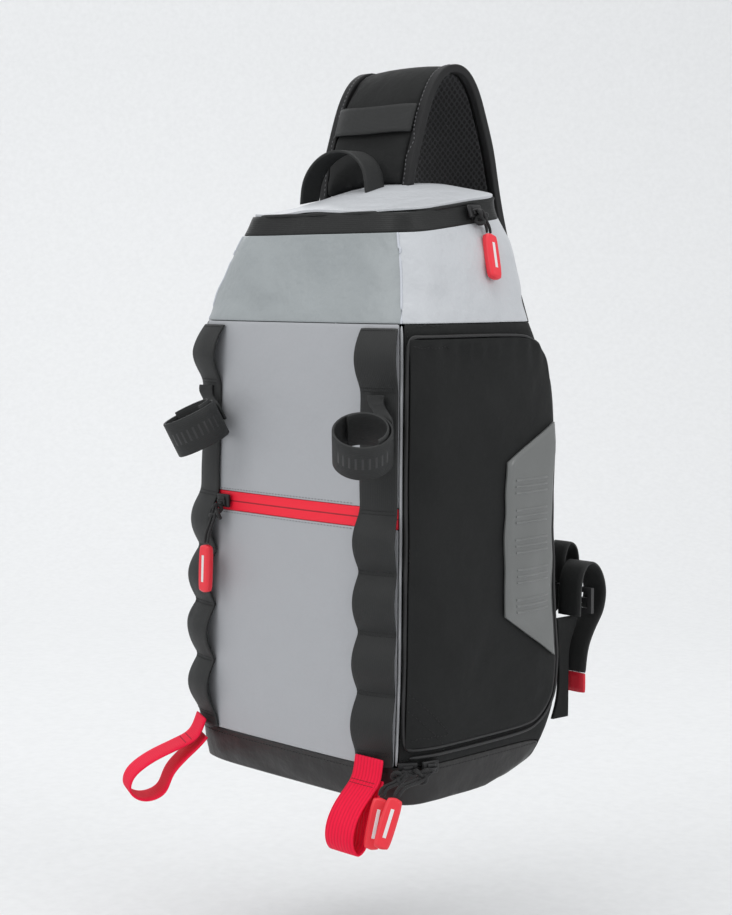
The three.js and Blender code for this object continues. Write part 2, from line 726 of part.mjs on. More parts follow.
// A point on the strap: share of its length, share across it, and height over its middle
function onStrap(r, c, out) {
  const wide = strapAcross(r).normalize();
  const normal = strapCurve.getTangent(r).cross(wide).normalize().negate();
  const point = strapCurve
    .getPoint(r)
    .addScaledVector(wide, strapWidth(r) * (c - 0.5))
    .addScaledVector(normal, out);
  return r ? point : seatOnLid(point);
}

function addStrap() {
  const half = STRAP_THICK / 2;
  const edge = BINDING / STRAP_WIDTH;
  const pillow = (c) => 1 - 0.45 * Math.abs(2 * c - 1) ** 4;
  const inside = (face, thick) => (r, c) => {
    const share = mix(edge, 1 - edge, c);
    return onStrap(r, share, face * thick * pillow(c));
  };
  const flat = (depth) => (r, c) => onStrap(r, mix(edge, 1 - edge, c), -depth);
  const pad = slab(STRAP_STEPS, 4, inside(1, half), flat(half - LINING - GAP));
  add("shoulder_strap", pad, COLORS.black);
  add("strap_mesh", slab(STRAP_STEPS, 4, flat(half - LINING), flat(half)), COLORS.mesh);
  for (const [name, from, to] of [["left", 0, edge], ["right", 1 - edge, 1]]) {
    const clear = GAP / STRAP_WIDTH;
    const low = name === "left" ? from : from + clear;
    const high = name === "left" ? to - clear : to;
    const place = (face) => (r, c) => onStrap(r, mix(low, high, c), face * half * 0.62);
    add("strap_binding_" + name, slab(STRAP_STEPS, 1, place(1), place(-1)), COLORS.black);
  }
  const keeper = (depth) => (r, c) => {
    const bow = 5 * Math.sin(Math.PI * c) ** 0.7;
    const at = mix(0.155, 0.235, r) - 0.012 * Math.sin(Math.PI * c);
    return onStrap(at, mix(edge, 1 - edge, c), half * pillow(c) + 2 * GAP + depth + bow);
  };
  add("strap_keeper", slab(2, 10, keeper(WEBBING), keeper(0)), COLORS.black);
}

function addHandle() {
  const steps = 8;
  const path = [];
  for (let i = 0; i <= steps; i++) {
    const turn = (Math.PI * i) / steps;
    const x = HANDLE_SIDE - (HANDLE_SPAN / 2) * Math.cos(turn);
    const z = lidHeight(x, HANDLE_BACK) + HANDLE_RISE * Math.sin(turn) ** 0.8;
    path.push(new THREE.Vector3(x, HANDLE_BACK, z));
  }
  const across = new THREE.Vector3(0, 1, 0);
  const handle = { path, across, width: HANDLE_WIDTH, steps: 20, cols: 2, seated: true };
  add("grab_handle", band(handle), COLORS.black);
}

// The lower end of the strap: webbing down behind the back, its fold, the ladder lock and the wing.
// Its places are shares of the half width, the back's depth and the seam's height.
const LOWER_ROWS = [
  { x: 0.1802, y: 1.2358, z: 0.7556 },
  { x: 0.3063, y: 1.217, z: 0.6109 },
  { x: 0.4414, y: 1.2028, z: 0.4823 },
  { x: 0.5676, y: 1.1981, z: 0.3923 },
  { x: 0.6847, y: 1.1981, z: 0.3376 },
];
const FOLD_ROWS = [
  { y: 1.1226, z: 0.4019 },
  { y: 1.1132, z: 0.4469 },
  { y: 1.1698, z: 0.492 },
  { y: 1.2453, z: 0.4791 },
  { y: 1.2689, z: 0.4244 },
  { y: 1.2453, z: 0.3762 },
  { y: 1.2217, z: 0.3505 },
];
const TAIL_ROWS = [
  { y: 1.0236, z: 0.3363 },
  { y: 1.0283, z: 0.3762 },
  { y: 1.0377, z: 0.4148 },
  { y: 1.0755, z: 0.4437 },
  { y: 1.1415, z: 0.4566 },
  { y: 1.2358, z: 0.4373 },
  { y: 1.2925, z: 0.3891 },
  { y: 1.2642, z: 0.3408 },
  { y: 1.1887, z: 0.3087 },
  { y: 1.1085, z: 0.2637 },
  { y: 1.0802, z: 0.2058 },
];
const TAIL_X = 0.9;
const TAIL_WIDTH = 20;
const FOLD_X = 0.72;
const FOLD_WIDTH = 15;
const ADJUST_WIDTH = 25;
const TAG_LENGTH = 14;
const LOCK = { x: 0.865, y: 1.1226, z: 0.3698, width: 32, height: 18, thick: 3, bar: 3.5 };
const WING = { low: 0.106, high: 0.3344, x: 0.9, foot: 1.0094, head: 1.1038, thick: 2.4, start: 1.4 };

function placed({ x, y, z }) {
  return new THREE.Vector3((x * BODY_WIDTH) / 2, y * BACK_DEPTH, z * SEAM_HEIGHT);
}

// The adjuster: an upright frame with two slots
function ladderLock() {
  const { width, height, thick, bar } = LOCK;
  const box = (path, wide, low, high) => {
    path.moveTo(-wide, low);
    path.lineTo(wide, low);
    path.lineTo(wide, high);
    path.lineTo(-wide, high);
    return path;
  };
  const shape = box(new THREE.Shape(), width / 2, -height / 2, height / 2);
  const inner = width / 2 - bar;
  shape.holes.push(box(new THREE.Path(), inner, bar - height / 2, -bar / 2));
  shape.holes.push(box(new THREE.Path(), inner, bar / 2, height / 2 - bar));
  const plate = new THREE.ExtrudeGeometry(shape, { depth: thick, bevelEnabled: false });
  const middle = placed(LOCK);
  return plate.rotateX(Math.PI / 2).translate(middle.x, middle.y + thick / 2, middle.z);
}

// The cloth wing that stands back from the rear corner, longest at its head
function strapWing() {
  const { low, high, thick, x, foot, head, start } = WING;
  const place = (face) => (r, c) => {
    const rear = placed({ x, y: mix(foot, head, smooth(3 * r - 2)), z: mix(low, high, r) });
    const z = rear.z;
    const point = skin(corner(3, z) + start, z, thick / 2 + 2 * GAP).lerp(rear, c);
    return point.setX(point.x + (face * thick) / 2);
  };
  return slab(8, 3, place(1), place(-1));
}

function addLowerEnd() {
  const start = strapCurve.getPoint(1).addScaledVector(strapCurve.getTangent(1), 2 * GAP);
  const lower = { path: [start, ...LOWER_ROWS.map(placed)], across: strapAcross(1), steps: 12 };
  add("adjust_webbing", band({ ...lower, width: ADJUST_WIDTH }), COLORS.black);
  const across = new THREE.Vector3(1, 0, 0);
  const fold = FOLD_ROWS.map((row) => placed({ ...row, x: FOLD_X }));
  add("webbing_fold", band({ path: fold, across, width: FOLD_WIDTH, steps: 14 }), COLORS.black);
  add("ladder_lock", ladderLock(), COLORS.metal, 0.5);
  add("strap_wing", strapWing(), COLORS.black);
  const tail = TAIL_ROWS.map((row) => placed({ ...row, x: TAIL_X }));
  add("tail_webbing", band({ path: tail, across, width: TAIL_WIDTH, steps: 20 }), COLORS.black);
  const end = tail.at(-1);
  const tag = new THREE.BoxGeometry(TAIL_WIDTH - 1, WEBBING + 1, TAG_LENGTH);
  add("tail_tag", tag.translate(end.x, end.y, end.z - TAG_LENGTH / 2 - GAP), COLORS.red);
}

// A zip slider with its cord and grip: the slider lies on the skin, the grip hangs between two ends
function addPull(name, along, z, { from, to, face, seat = SLIDER.seat }) {
  const place = skin(along, z, SLIDER.thick / 2 + seat);
  const normal = place.clone().sub(skin(along, z)).normalize();
  const facing = new THREE.Matrix4().lookAt(normal, new THREE.Vector3(), new THREE.Vector3(0, 0, 1));
  const slider = pill(SLIDER.length, SLIDER.width, SLIDER.thick, 1);
  slider.applyMatrix4(facing.setPosition(place));
  add(name + "_slider", slider, COLORS.metal, 0.4, 0.6);
  const start = place.clone().addScaledVector(normal, SLIDER.thick / 2 + CORD_RADIUS + 3.3 * GAP);
  const drop = from.clone().sub(start);
  const axis = to.clone().sub(from).normalize();
  const side = axis.clone().cross(face).normalize().multiplyScalar(CORD_RADIUS + GAP);
  const strand = (sign) => [
    start.clone().addScaledVector(drop, 0.15).addScaledVector(side, sign),
    start.clone().addScaledVector(drop, 0.45).addScaledVector(side, sign),
    from.clone().addScaledVector(axis, -4 * CORD_RADIUS).addScaledVector(side, sign),
    from.clone().addScaledVector(side, sign),
  ];
  const cord = [...strand(-1).reverse(), start, ...strand(1)];
  add(name + "_cord", tube(cord, CORD_RADIUS, 10, 5), COLORS.black);
  const out = face.clone().addScaledVector(axis, -face.dot(axis)).normalize();
  const frame = new THREE.Matrix4().makeBasis(out.clone().cross(axis), axis.clone().negate(), out);
  frame.setPosition(from.clone().addScaledVector(axis, GRIP.length / 2 + 2 * GAP));
  const grip = pill(GRIP.width, GRIP.length, GRIP.thick, 1.4).applyMatrix4(frame);
  add(name + "_grip", grip, COLORS.grip, 0.45);
}

// Where the grips hang. The top one lies on the yoke: how far before the rear corner, and below the
// zip, its ends are. The door's hang clear: their ends are steps from the slider.
const TOP_PULL = { back: 36, seat: 1.5, from: { before: 34, drop: 15 }, to: { before: 42, drop: 48 } };
const DOOR_PULLS = [
  { past: 7, from: [-2, -22.5, -13], to: [-2, -31.5, -43] },
  { past: 22, from: [4, -37.5, -11], to: [4, -50.5, -39] },
];

function addPulls() {
  const clear = GRIP.thick / 2 + GAP;
  const zipEnd = corner(1, ZIP_HEIGHT) - EDGE - COLUMN_WIDTH - SLIDER.length / 2 - 2 * GAP;
  const overColumn = (z) => skin(-zipEnd - 2, z, LOOP_BULGE + 2 * WEBBING + clear);
  const low = ZIP_HEIGHT - 30;
  const ahead = { from: overColumn(low), to: overColumn(low - GRIP.length) };
  addPull("front_zip", -zipEnd, ZIP_HEIGHT, { ...ahead, face: new THREE.Vector3(0, -1, 0) });
  const top = RIM_HEIGHT - 2;
  const onYoke = ({ before, drop }) => skin(corner(3, top - drop) - before, top - drop, clear + 2 * GAP);
  const hung = { from: onYoke(TOP_PULL.from), to: onYoke(TOP_PULL.to), seat: TOP_PULL.seat };
  const face = new THREE.Vector3(1, 0, 0.4);
  addPull("top_zip", corner(3, top) - TOP_PULL.back, top, { ...hung, face });
  DOOR_PULLS.forEach(({ past, from, to }, i) => {
    const along = corner(1, BASE_HEIGHT) + past;
    const slider = skin(along, BASE_HEIGHT, SLIDER.thick);
    const [start, end] = [from, to].map((step) => slider.clone().add(new THREE.Vector3(...step)));
    const forward = new THREE.Vector3(0.7, -0.7, 0);
    addPull("door_zip_" + (i + 1), along, BASE_HEIGHT, { from: start, to: end, face: forward });
  });
}

addFront();
add("side_wall_right", sideWall(1), COLORS.black);
add("side_wall_left", sideWall(-1), COLORS.black);
add("back_wall", backWall(), COLORS.black);
add("back_pad", backPad(), COLORS.mesh);
add("base_boot", baseTray(), COLORS.coated, 0.5);
addYoke();
addDoor();
for (const [name, side] of [["right", 1], ["left", -1]]) {
  add("webbing_column_" + name, webbingColumn(side), COLORS.black);
  add("tool_ring_" + name, toolRing(name), COLORS.black);
  add("ring_tab_" + name, ringTab(name, side), COLORS.black);
  add("lash_loop_" + name, lashLoop(name, side), COLORS.red);
}
addStrap();
addHandle();
addLowerEnd();
addPulls();

// The bag hangs by its shoulder strap: the origin is under the top of the strap's arch
let crest = 0;
for (let r = 0; r < 1; r += 0.005)
  if (strapCurve.getPoint(r).z > strapCurve.getPoint(crest).z) crest = r;
const rest = onStrap(crest, 0.5, -STRAP_THICK / 2);
bag.position.copy(rest).negate();
const object = new THREE.Group();
object.add(bag);

export default object;
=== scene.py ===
"""Looks of a fishing tackle sling bag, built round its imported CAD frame."""

import logging
import math
from dataclasses import dataclass, field, replace
from enum import Enum
from typing import Callable, Iterable, Sequence

import bmesh
import bpy
import numpy as np
from bpy.types import Material, Mesh, Node, NodeSocket, NodeTree, Object
from mathutils import Matrix, Vector, noise
from mathutils.bvhtree import BVHTree


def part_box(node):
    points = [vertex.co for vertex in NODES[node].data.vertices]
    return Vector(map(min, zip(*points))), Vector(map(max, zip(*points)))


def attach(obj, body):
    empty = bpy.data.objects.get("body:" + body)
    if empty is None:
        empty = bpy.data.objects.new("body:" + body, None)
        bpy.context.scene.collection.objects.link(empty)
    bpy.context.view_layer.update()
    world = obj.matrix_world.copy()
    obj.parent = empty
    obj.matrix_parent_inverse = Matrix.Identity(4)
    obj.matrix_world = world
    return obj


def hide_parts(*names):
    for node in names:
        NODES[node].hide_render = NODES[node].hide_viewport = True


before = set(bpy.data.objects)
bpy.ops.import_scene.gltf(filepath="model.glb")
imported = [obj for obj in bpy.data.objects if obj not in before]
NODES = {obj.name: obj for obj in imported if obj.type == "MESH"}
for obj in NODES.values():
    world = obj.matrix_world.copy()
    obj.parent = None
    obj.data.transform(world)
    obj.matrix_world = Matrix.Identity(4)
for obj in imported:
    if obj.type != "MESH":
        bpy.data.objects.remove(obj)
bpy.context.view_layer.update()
log = logging.getLogger("bag")

MM = 0.001
# The bag is measured from the middle of its foot; the row's origin is under the strap's arch.
ROW_SHIFT = Vector((34.000, -86.561, -483.999)) * MM
HALF_WIDTH = 0.111
FRONT_DEPTH = 0.072
BACK_DEPTH = 0.106
BASE_TOP = 0.026
SEAM = 0.311
RIM = 0.385
ZIP_MIDDLE = 0.187
RIM_STEP = 8.0


def bag(x: float, y: float, z: float) -> Vector:
    """A point in millimetres from the middle of the bag's foot, in the row frame."""
    return Vector((x, y, z)) * MM + ROW_SHIFT


def smooth(value: np.ndarray, low: float, high: float) -> np.ndarray:
    """A smooth step from 0 at low to 1 at high."""
    share = np.clip((np.asarray(value, float) - low) / (high - low), 0, 1)
    return share * share * (3 - 2 * share)


# ---------------------------------------------------------------- node graphs


class Graph:
    """A node tree with short calls for the nodes that the finishes use."""

    def __init__(self, tree: NodeTree) -> None:
        """Keeps the tree."""
        self.tree = tree

    def add(self, kind: str, **values: object) -> Node:
        """Adds a node of a type, given without the word ShaderNode, and sets its properties."""
        node = self.tree.nodes.new("ShaderNode" + kind)
        for key, value in values.items():
            setattr(node, key, value)
        return node

    def put(self, socket: NodeSocket, value: object) -> None:
        """Links a socket to another one, or sets its number."""
        if isinstance(value, NodeSocket):
            self.tree.links.new(value, socket)
        else:
            socket.default_value = value

    def math(self, operation: str, *values: object) -> NodeSocket:
        """A Math node's output."""
        node = self.add("Math", operation=operation)
        for socket, value in zip(node.inputs, values):
            self.put(socket, value)
        return node.outputs[0]

    def vector(self, operation: str, *values: object) -> NodeSocket:
        """A Vector Math node's output: the number for a dot product, or else the vector."""
        node = self.add("VectorMath", operation=operation)
        for socket, value in zip(node.inputs, values):
            self.put(socket, value)
        return node.outputs["Value" if operation == "DOT_PRODUCT" else "Vector"]

    def noise(self, place: object, scale: object, detail: float = 4) -> NodeSocket:
        """A noise texture's value at a place."""
        node = self.add("TexNoise")
        self.put(node.inputs["Vector"], place)
        self.put(node.inputs["Scale"], scale)
        node.inputs["Detail"].default_value = detail
        return node.outputs[0]

    def spread(self, value: object, to_low: object, to_high: object) -> NodeSocket:
        """Maps 0 to 1 onto a range."""
        node = self.add("MapRange")
        self.put(node.inputs["Value"], value)
        self.put(node.inputs["To Min"], to_low)
        self.put(node.inputs["To Max"], to_high)
        return node.outputs[0]

    def step(self, value: object, low: object, high: object) -> NodeSocket:
        """A smooth step from 0 at low to 1 at high."""
        node = self.add("MapRange", interpolation_type="SMOOTHSTEP")
        self.put(node.inputs["Value"], value)
        self.put(node.inputs["From Min"], low)
        self.put(node.inputs["From Max"], high)
        return node.outputs[0]

    def mix(self, share: object, first: object, second: object) -> NodeSocket:
        """A mix of two colours."""
        node = self.add("Mix", data_type="RGBA")
        self.put(node.inputs[0], share)
        self.put(node.inputs[6], first)
        self.put(node.inputs[7], second)
        return node.outputs[2]

    def split(self, place: object) -> list[NodeSocket]:
        """A vector's three numbers."""
        node = self.add("SeparateXYZ")
        self.put(node.inputs[0], place)
        return list(node.outputs)


def group(name: str) -> NodeTree:
    """A node group of the table, made once, with named inputs and outputs."""
    tree = bpy.data.node_groups.get(name)
    if tree:
        return tree
    inputs, outputs, build = GROUPS[name]
    tree = bpy.data.node_groups.new(name, "ShaderNodeTree")
    for key in inputs:
        kind = "Vector" if key in ("Vector", "Across") else "Float"
        tree.interface.new_socket(key, in_out="INPUT", socket_type="NodeSocket" + kind)
    for key in outputs:
        tree.interface.new_socket(key, in_out="OUTPUT", socket_type="NodeSocketFloat")
    graph = Graph(tree)
    start, end = tree.nodes.new("NodeGroupInput"), tree.nodes.new("NodeGroupOutput")
    made = build(graph, *[start.outputs[key] for key in inputs])
    for key in outputs:
        graph.put(end.inputs[key], made[key])
    return tree


def _weave(graph: Graph, place: object, pitch: object) -> dict:
    """Threads over and under each other, in the first two numbers of a place."""
    wobble = graph.spread(graph.noise(place, 90.0, 2), -0.35, 0.35)
    u, v, _ = graph.split(place)
    turn = graph.math("DIVIDE", 2 * math.pi, pitch)
    first = graph.math("SINE", graph.math("ADD", graph.math("MULTIPLY", u, turn), wobble))
    second = graph.math("SINE", graph.math("ADD", graph.math("MULTIPLY", v, turn), wobble))
    height = graph.spread(graph.math("MULTIPLY", first, second), 0.5, 1.0)
    fuzz = graph.noise(place, 1500.0, 2)
    return {"Height": graph.math("ADD", height, graph.math("MULTIPLY", fuzz, 0.35)), "Tone": fuzz}


def _ribs(graph: Graph, place: object, across: object, pitch: object) -> dict:
    """Lengthwise ribs of webbing, across a direction, with a fine weave between them."""
    line = graph.vector("DOT_PRODUCT", place, across)
    wave = graph.math("SINE", graph.math("MULTIPLY", line, graph.math("DIVIDE", math.pi, pitch)))
    rib = graph.math("POWER", graph.math("ABSOLUTE", wave), 0.6)
    fuzz = graph.noise(place, 1100.0, 2)
    height = graph.math("ADD", rib, graph.math("MULTIPLY", fuzz, 0.55))
    # the tone follows the ribs' height: painted shade in the grooves between them
    return {"Height": height, "Tone": rib}


def _grain(graph: Graph, place: object, pitch: object) -> dict:
    """The fine pebbles of a coated or moulded face."""
    cell = graph.add("TexVoronoi", feature="SMOOTH_F1")
    graph.put(cell.inputs["Vector"], place)
    graph.put(cell.inputs["Scale"], graph.math("DIVIDE", 1.0, pitch))
    fuzz = graph.noise(place, graph.math("DIVIDE", 0.5, pitch), 3)
    height = graph.math("ADD", cell.outputs["Distance"], graph.math("MULTIPLY", fuzz, 0.8))
    return {"Height": height, "Tone": fuzz}


def _holes(graph: Graph, place: object, pitch: object) -> dict:
    """Diamond holes of an air mesh, in the first two numbers of a place."""
    u, v, _ = graph.split(place)
    turn = graph.math("DIVIDE", math.pi, pitch)
    sums = [graph.math("ADD", u, v), graph.math("SUBTRACT", u, v)]
    waves = [graph.math("ABSOLUTE", graph.math("SINE", graph.math("MULTIPLY", s, turn))) for s in sums]
    open_part = graph.step(graph.math("MULTIPLY", *waves), 0.3, 0.5)
    closed = graph.math("SUBTRACT", 1.0, open_part)
    # the holes are painted dark: partly the darker padding behind them, partly painted shade in them
    return {"Height": closed, "Tone": closed}


def _wear(graph: Graph, place: object, scale: object, amount: object) -> dict:
    """Cloudy handling marks: how the colour and the roughness change from place to place."""
    cloud = graph.noise(place, scale, 5)
    speck = graph.noise(place, graph.math("MULTIPLY", scale, 14.0), 3)
    both = graph.math("ADD", graph.math("MULTIPLY", cloud, 0.75), graph.math("MULTIPLY", speck, 0.25))
    shift = graph.math("MULTIPLY", graph.spread(both, -1.0, 1.0), amount)
    return {"Tone": graph.math("ADD", 1.0, shift), "Rough": graph.math("MULTIPLY", shift, -0.8)}


def _edges(graph: Graph, amount: object) -> dict:
    """Painted highlight on sharp edges: lighter where the surface stands out sharply."""
    point = graph.add("NewGeometry").outputs["Pointiness"]
    return {"Edge": graph.math("MULTIPLY", graph.step(point, 0.52, 0.6), amount)}


def _line(graph: Graph, place: object, across: object, middle: object, width: object) -> dict:
    """A line at one distance along a direction."""
    away = graph.math("SUBTRACT", graph.vector("DOT_PRODUCT", place, across), middle)
    away = graph.math("ABSOLUTE", away)
    near = graph.step(away, graph.math("MULTIPLY", width, 0.35), graph.math("MULTIPLY", width, 0.65))
    return {"Mask": graph.math("SUBTRACT", 1.0, near)}


# Each group's inputs and outputs, and what makes it.
RELIEF = ("Height", "Tone")
GROUPS: dict[str, tuple[tuple[str, ...], tuple[str, ...], Callable[..., dict]]] = {
    "Weave": (("Vector", "Pitch"), RELIEF, _weave),
    "WebbingRibs": (("Vector", "Across", "Pitch"), RELIEF, _ribs),
    "Grain": (("Vector", "Pitch"), RELIEF, _grain),
    "AirMesh": (("Vector", "Pitch"), RELIEF, _holes),
    "Wear": (("Vector", "Scale", "Amount"), ("Tone", "Rough"), _wear),
    "PaintedEdgeHighlight": (("Amount",), ("Edge",), _edges),
    "SeamLine": (("Vector", "Across", "Middle", "Width"), ("Mask",), _line),
}


class Texture(Enum):
    """What a finish's surface is made of, and which way its pattern lies."""

    WEAVE_WALL = "weave on an upright panel"
    WEAVE_LID = "weave on a lying panel"
    RIBS = "webbing ribs"
    GRAIN = "pebbled grain"
    HOLES = "open mesh"


@dataclass(frozen=True)
class Line:
    """A seam line on a finish, in metres along a direction in the row frame."""

    across: tuple[float, float, float]
    middle: float
    width: float
    shade: float = 0.25


@dataclass(frozen=True)
class Finish:
    """A finish: its colour in 8-bit sRGB, its texture's pitch and depth in metres, and its wear."""

    name: str
    colour: tuple[int, int, int]
    roughness: float
    texture: Texture
    pitch: float
    depth: float
    across: tuple[float, float, float] = (1.0, 0.0, 0.0)
    contrast: float = 0.1
    wear: float = 0.05
    wear_scale: float = 25.0
    # how strongly sharp edges are painted lighter: a painted highlight
    edge: float = 0.0
    sheen: float = 0.0
    coat: float = 0.0
    metallic: float = 0.0
    specular: float = 0.5
    crumple: float = 0.0
    lines: tuple[Line, ...] = ()

    def base(self) -> tuple[float, float, float, float]:
        """The colour in linear light."""
        shares = [value / 255 for value in self.colour]
        linear = [s / 12.92 if s <= 0.04045 else ((s + 0.055) / 1.055) ** 2.4 for s in shares]
        return (*linear, 1.0)

    def build(self) -> Material:
        """Makes the material, once."""
        found = bpy.data.materials.get(self.name)
        if found:
            return found
        material = bpy.data.materials.new(self.name)
        material.use_nodes = True
        graph = Graph(material.node_tree)
        shader = material.node_tree.nodes["Principled BSDF"]
        place = graph.add("TexCoord").outputs["Object"]
        pattern = self._pattern(graph, place)
        wear = self._use(graph, "Wear", place, self.wear_scale, self.wear)
        dark = graph.spread(pattern.outputs["Tone"], 1.0 - self.contrast, 1.0)
        tone = graph.math("MULTIPLY", dark, wear.outputs["Tone"])
        height = pattern.outputs["Height"]
        for line in self.lines:
            seam = self._use(graph, "SeamLine", place, line.across, line.middle, line.width)
            cut = graph.math("MULTIPLY", seam.outputs["Mask"], 1.0 - line.shade)
            tone = graph.math("MULTIPLY", tone, graph.math("SUBTRACT", 1.0, cut))
            height = graph.math("SUBTRACT", height, graph.math("MULTIPLY", seam.outputs["Mask"], 3.0))
        edge = self._use(graph, "PaintedEdgeHighlight", self.edge)
        grey = graph.add("CombineColor")
        for socket in list(grey.inputs)[:3]:
            graph.put(socket, tone)
        colour = graph.add("Mix", data_type="RGBA", blend_type="MULTIPLY")
        colour.inputs[0].default_value = 1.0
        colour.inputs[6].default_value = self.base()
        graph.put(colour.inputs[7], grey.outputs[0])
        # the painted edge highlight: a lighter copy of the base colour, mixed in on sharp edges
        light = [min(1.0, value * 1.6 + 0.04) for value in self.base()[:3]]
        edge_highlighted = graph.mix(edge.outputs["Edge"], colour.outputs[2], (*light, 1.0))
        graph.put(shader.inputs["Base Color"], edge_highlighted)
        rough = graph.math("ADD", self.roughness, wear.outputs["Rough"])
        graph.put(shader.inputs["Roughness"], rough)
        shader.inputs["Metallic"].default_value = self.metallic
        shader.inputs["Specular IOR Level"].default_value = self.specular
        shader.inputs["Sheen Weight"].default_value = self.sheen
        shader.inputs["Sheen Roughness"].default_value = 0.45
        shader.inputs["Coat Weight"].default_value = self.coat
        shader.inputs["Coat Roughness"].default_value = 0.3
        self._bump(graph, shader, place, height)
        return material

    def _bump(self, graph: Graph, shader: Node, place: object, height: object) -> None:
        """Feeds the texture's height, and the crumples under it, to the shader's normal."""
        fine = graph.add("Bump")
        fine.inputs["Strength"].default_value = 1.0
        fine.inputs["Distance"].default_value = self.depth
        graph.put(fine.inputs["Height"], height)
        if self.crumple:
            broad = graph.add("Bump")
            broad.inputs["Strength"].default_value = 1.0
            broad.inputs["Distance"].default_value = self.crumple
            graph.put(broad.inputs["Height"], graph.noise(place, 55.0, 3))
            graph.put(fine.inputs["Normal"], broad.outputs[0])
        graph.put(shader.inputs["Normal"], fine.outputs[0])

    def _use(self, graph: Graph, name: str, *values: object) -> Node:
        """Puts a shared group into the material, with its inputs linked or set in order."""
        node = graph.add("Group", node_tree=group(name))
        for key, value in zip(GROUPS[name][0], values):
            graph.put(node.inputs[key], value)
        return node

    def _pattern(self, graph: Graph, place: object) -> Node:
        """The texture's group, on the coordinates that its direction needs."""
        x, y, z = graph.split(place)
        flat = graph.add("CombineXYZ")
        if self.texture is Texture.WEAVE_LID:
            graph.put(flat.inputs[0], x)
            graph.put(flat.inputs[1], y)
        else:
            graph.put(flat.inputs[0], graph.math("ADD", x, y))
            graph.put(flat.inputs[1], z)
        if self.texture is Texture.RIBS:
            return self._use(graph, "WebbingRibs", place, self.across, self.pitch)
        if self.texture is Texture.GRAIN:
            return self._use(graph, "Grain", place, self.pitch)
        name = "AirMesh" if self.texture is Texture.HOLES else "Weave"
        return self._use(graph, name, flat.outputs[0], self.pitch)


FRONT_GREY = Finish(
    "FrontGrey", (172, 174, 178), 0.5, Texture.WEAVE_WALL, 0.0007, 0.00002,
    wear=0.03, sheen=0.1, coat=0.05, crumple=0.001)
YOKE_GREY = replace(
    FRONT_GREY, name="YokeGrey", colour=(154, 160, 162), roughness=0.45,
    wear=0.05, coat=0.1, crumple=0.0025)
PALE_WALL = replace(YOKE_GREY, name="PaleWall", colour=(196, 199, 203), wear=0.04)
PALE_GREY = replace(
    PALE_WALL, name="PaleGrey", colour=(192, 195, 199), texture=Texture.WEAVE_LID)
BLACK_CLOTH = Finish(
    "BlackCloth", (31, 32, 32), 0.75, Texture.WEAVE_WALL, 0.0009, 0.0001,
    contrast=0.35, wear=0.12, specular=0.25, crumple=0.0014, edge=0.1)
COATED_BLACK = Finish(
    "CoatedBlack", (42, 41, 41), 0.42, Texture.GRAIN, 0.0012, 0.00006,
    contrast=0.2, wear=0.12, specular=0.35, crumple=0.0016, edge=0.15)
ZIP_BLACK = Finish(
    "ZipBlack", (30, 31, 31), 0.45, Texture.RIBS, 0.0013, 0.00012, across=(0.0, 0.0, 1.0),
    contrast=0.25, specular=0.3, crumple=0.0012)
ZIP_RED = Finish(
    "ZipRed", (250, 20, 52), 0.55, Texture.WEAVE_WALL, 0.0006, 0.00003,
    wear=0.03, lines=(Line((0.0, 0.0, 1.0), ZIP_MIDDLE + ROW_SHIFT.z, 0.0009, 0.35),))
REFLECTIVE = Finish(
    "ReflectivePiping", (176, 178, 181), 0.35, Texture.GRAIN, 0.0008, 0.00002, coat=0.3, wear=0.04)
BLACK_PIPING = Finish(
    "BlackPiping", (34, 34, 35), 0.5, Texture.GRAIN, 0.0011, 0.00006, contrast=0.2, edge=0.15)
RUBBER = Finish(
    "PatchRubber", (106, 108, 107), 0.33, Texture.GRAIN, 0.0016, 0.00001,
    contrast=0.05, wear=0.1, wear_scale=16.0, coat=0.3, edge=0.25)
BINDING = Finish(
    "Binding", (32, 32, 33), 0.6, Texture.WEAVE_WALL, 0.0012, 0.0001,
    contrast=0.3, specular=0.3, edge=0.2)
AIR_MESH = Finish("AirMesh", (56, 56, 58), 0.7, Texture.HOLES, 0.0052, 0.001, contrast=0.85)
RUBBER_BLACK = Finish("RingMark", (38, 38, 39), 0.45, Texture.GRAIN, 0.001, 0.00002, coat=0.1)
SEAM_PALE = Finish("SeamPale", (196, 200, 208), 0.4, Texture.GRAIN, 0.0008, 0.00001, wear=0.04)
SLIDER_METAL = Finish(
    "SliderMetal", (34, 34, 35), 0.35, Texture.GRAIN, 0.002, 0.00002, metallic=0.5, edge=0.5)
CORD_FINISH = Finish(
    "PullCord", (28, 28, 29), 0.7, Texture.GRAIN, 0.0009, 0.0002, contrast=0.4, sheen=0.1)
GRIP_RED = Finish(
    "GripRed", (240, 44, 60), 0.42, Texture.GRAIN, 0.0018, 0.00003, wear=0.03, coat=0.1, edge=0.15)
STRIPE_WHITE = Finish("GripStripe", (232, 232, 232), 0.5, Texture.GRAIN, 0.001, 0.00001)
LOCK_PLASTIC = Finish(
    "LockPlastic", (30, 30, 31), 0.45, Texture.GRAIN, 0.0009, 0.00003, edge=0.4, wear=0.08)
TAG_RED = Finish(
    "TagRed", (206, 22, 44), 0.55, Texture.RIBS, 0.0012, 0.00015, across=(1.0, 0.0, 0.0))
THREAD = Finish("Thread", (60, 60, 60), 0.6, Texture.GRAIN, 0.0004, 0.00004)
THREAD_DARK = replace(THREAD, name="ThreadDark", colour=(17, 17, 18))
THREAD_GREY = replace(THREAD, name="ThreadGrey", colour=(122, 124, 128))
THREAD_RED = replace(THREAD, name="ThreadRed", colour=(120, 8, 30))
THREAD_CHARCOAL = replace(THREAD, name="ThreadCharcoal", colour=(96, 96, 98))


def webbing(name: str, across: Sequence[float], pitch: float = 0.0013) -> Finish:
    """A black webbing finish with ribs across a direction, at a pitch in metres."""
    return Finish(
        name, (42, 43, 43), 0.6, Texture.RIBS, pitch, 0.0001, across=tuple(across),
        contrast=0.2, wear=0.14, specular=0.3, edge=0.2, crumple=0.0006)


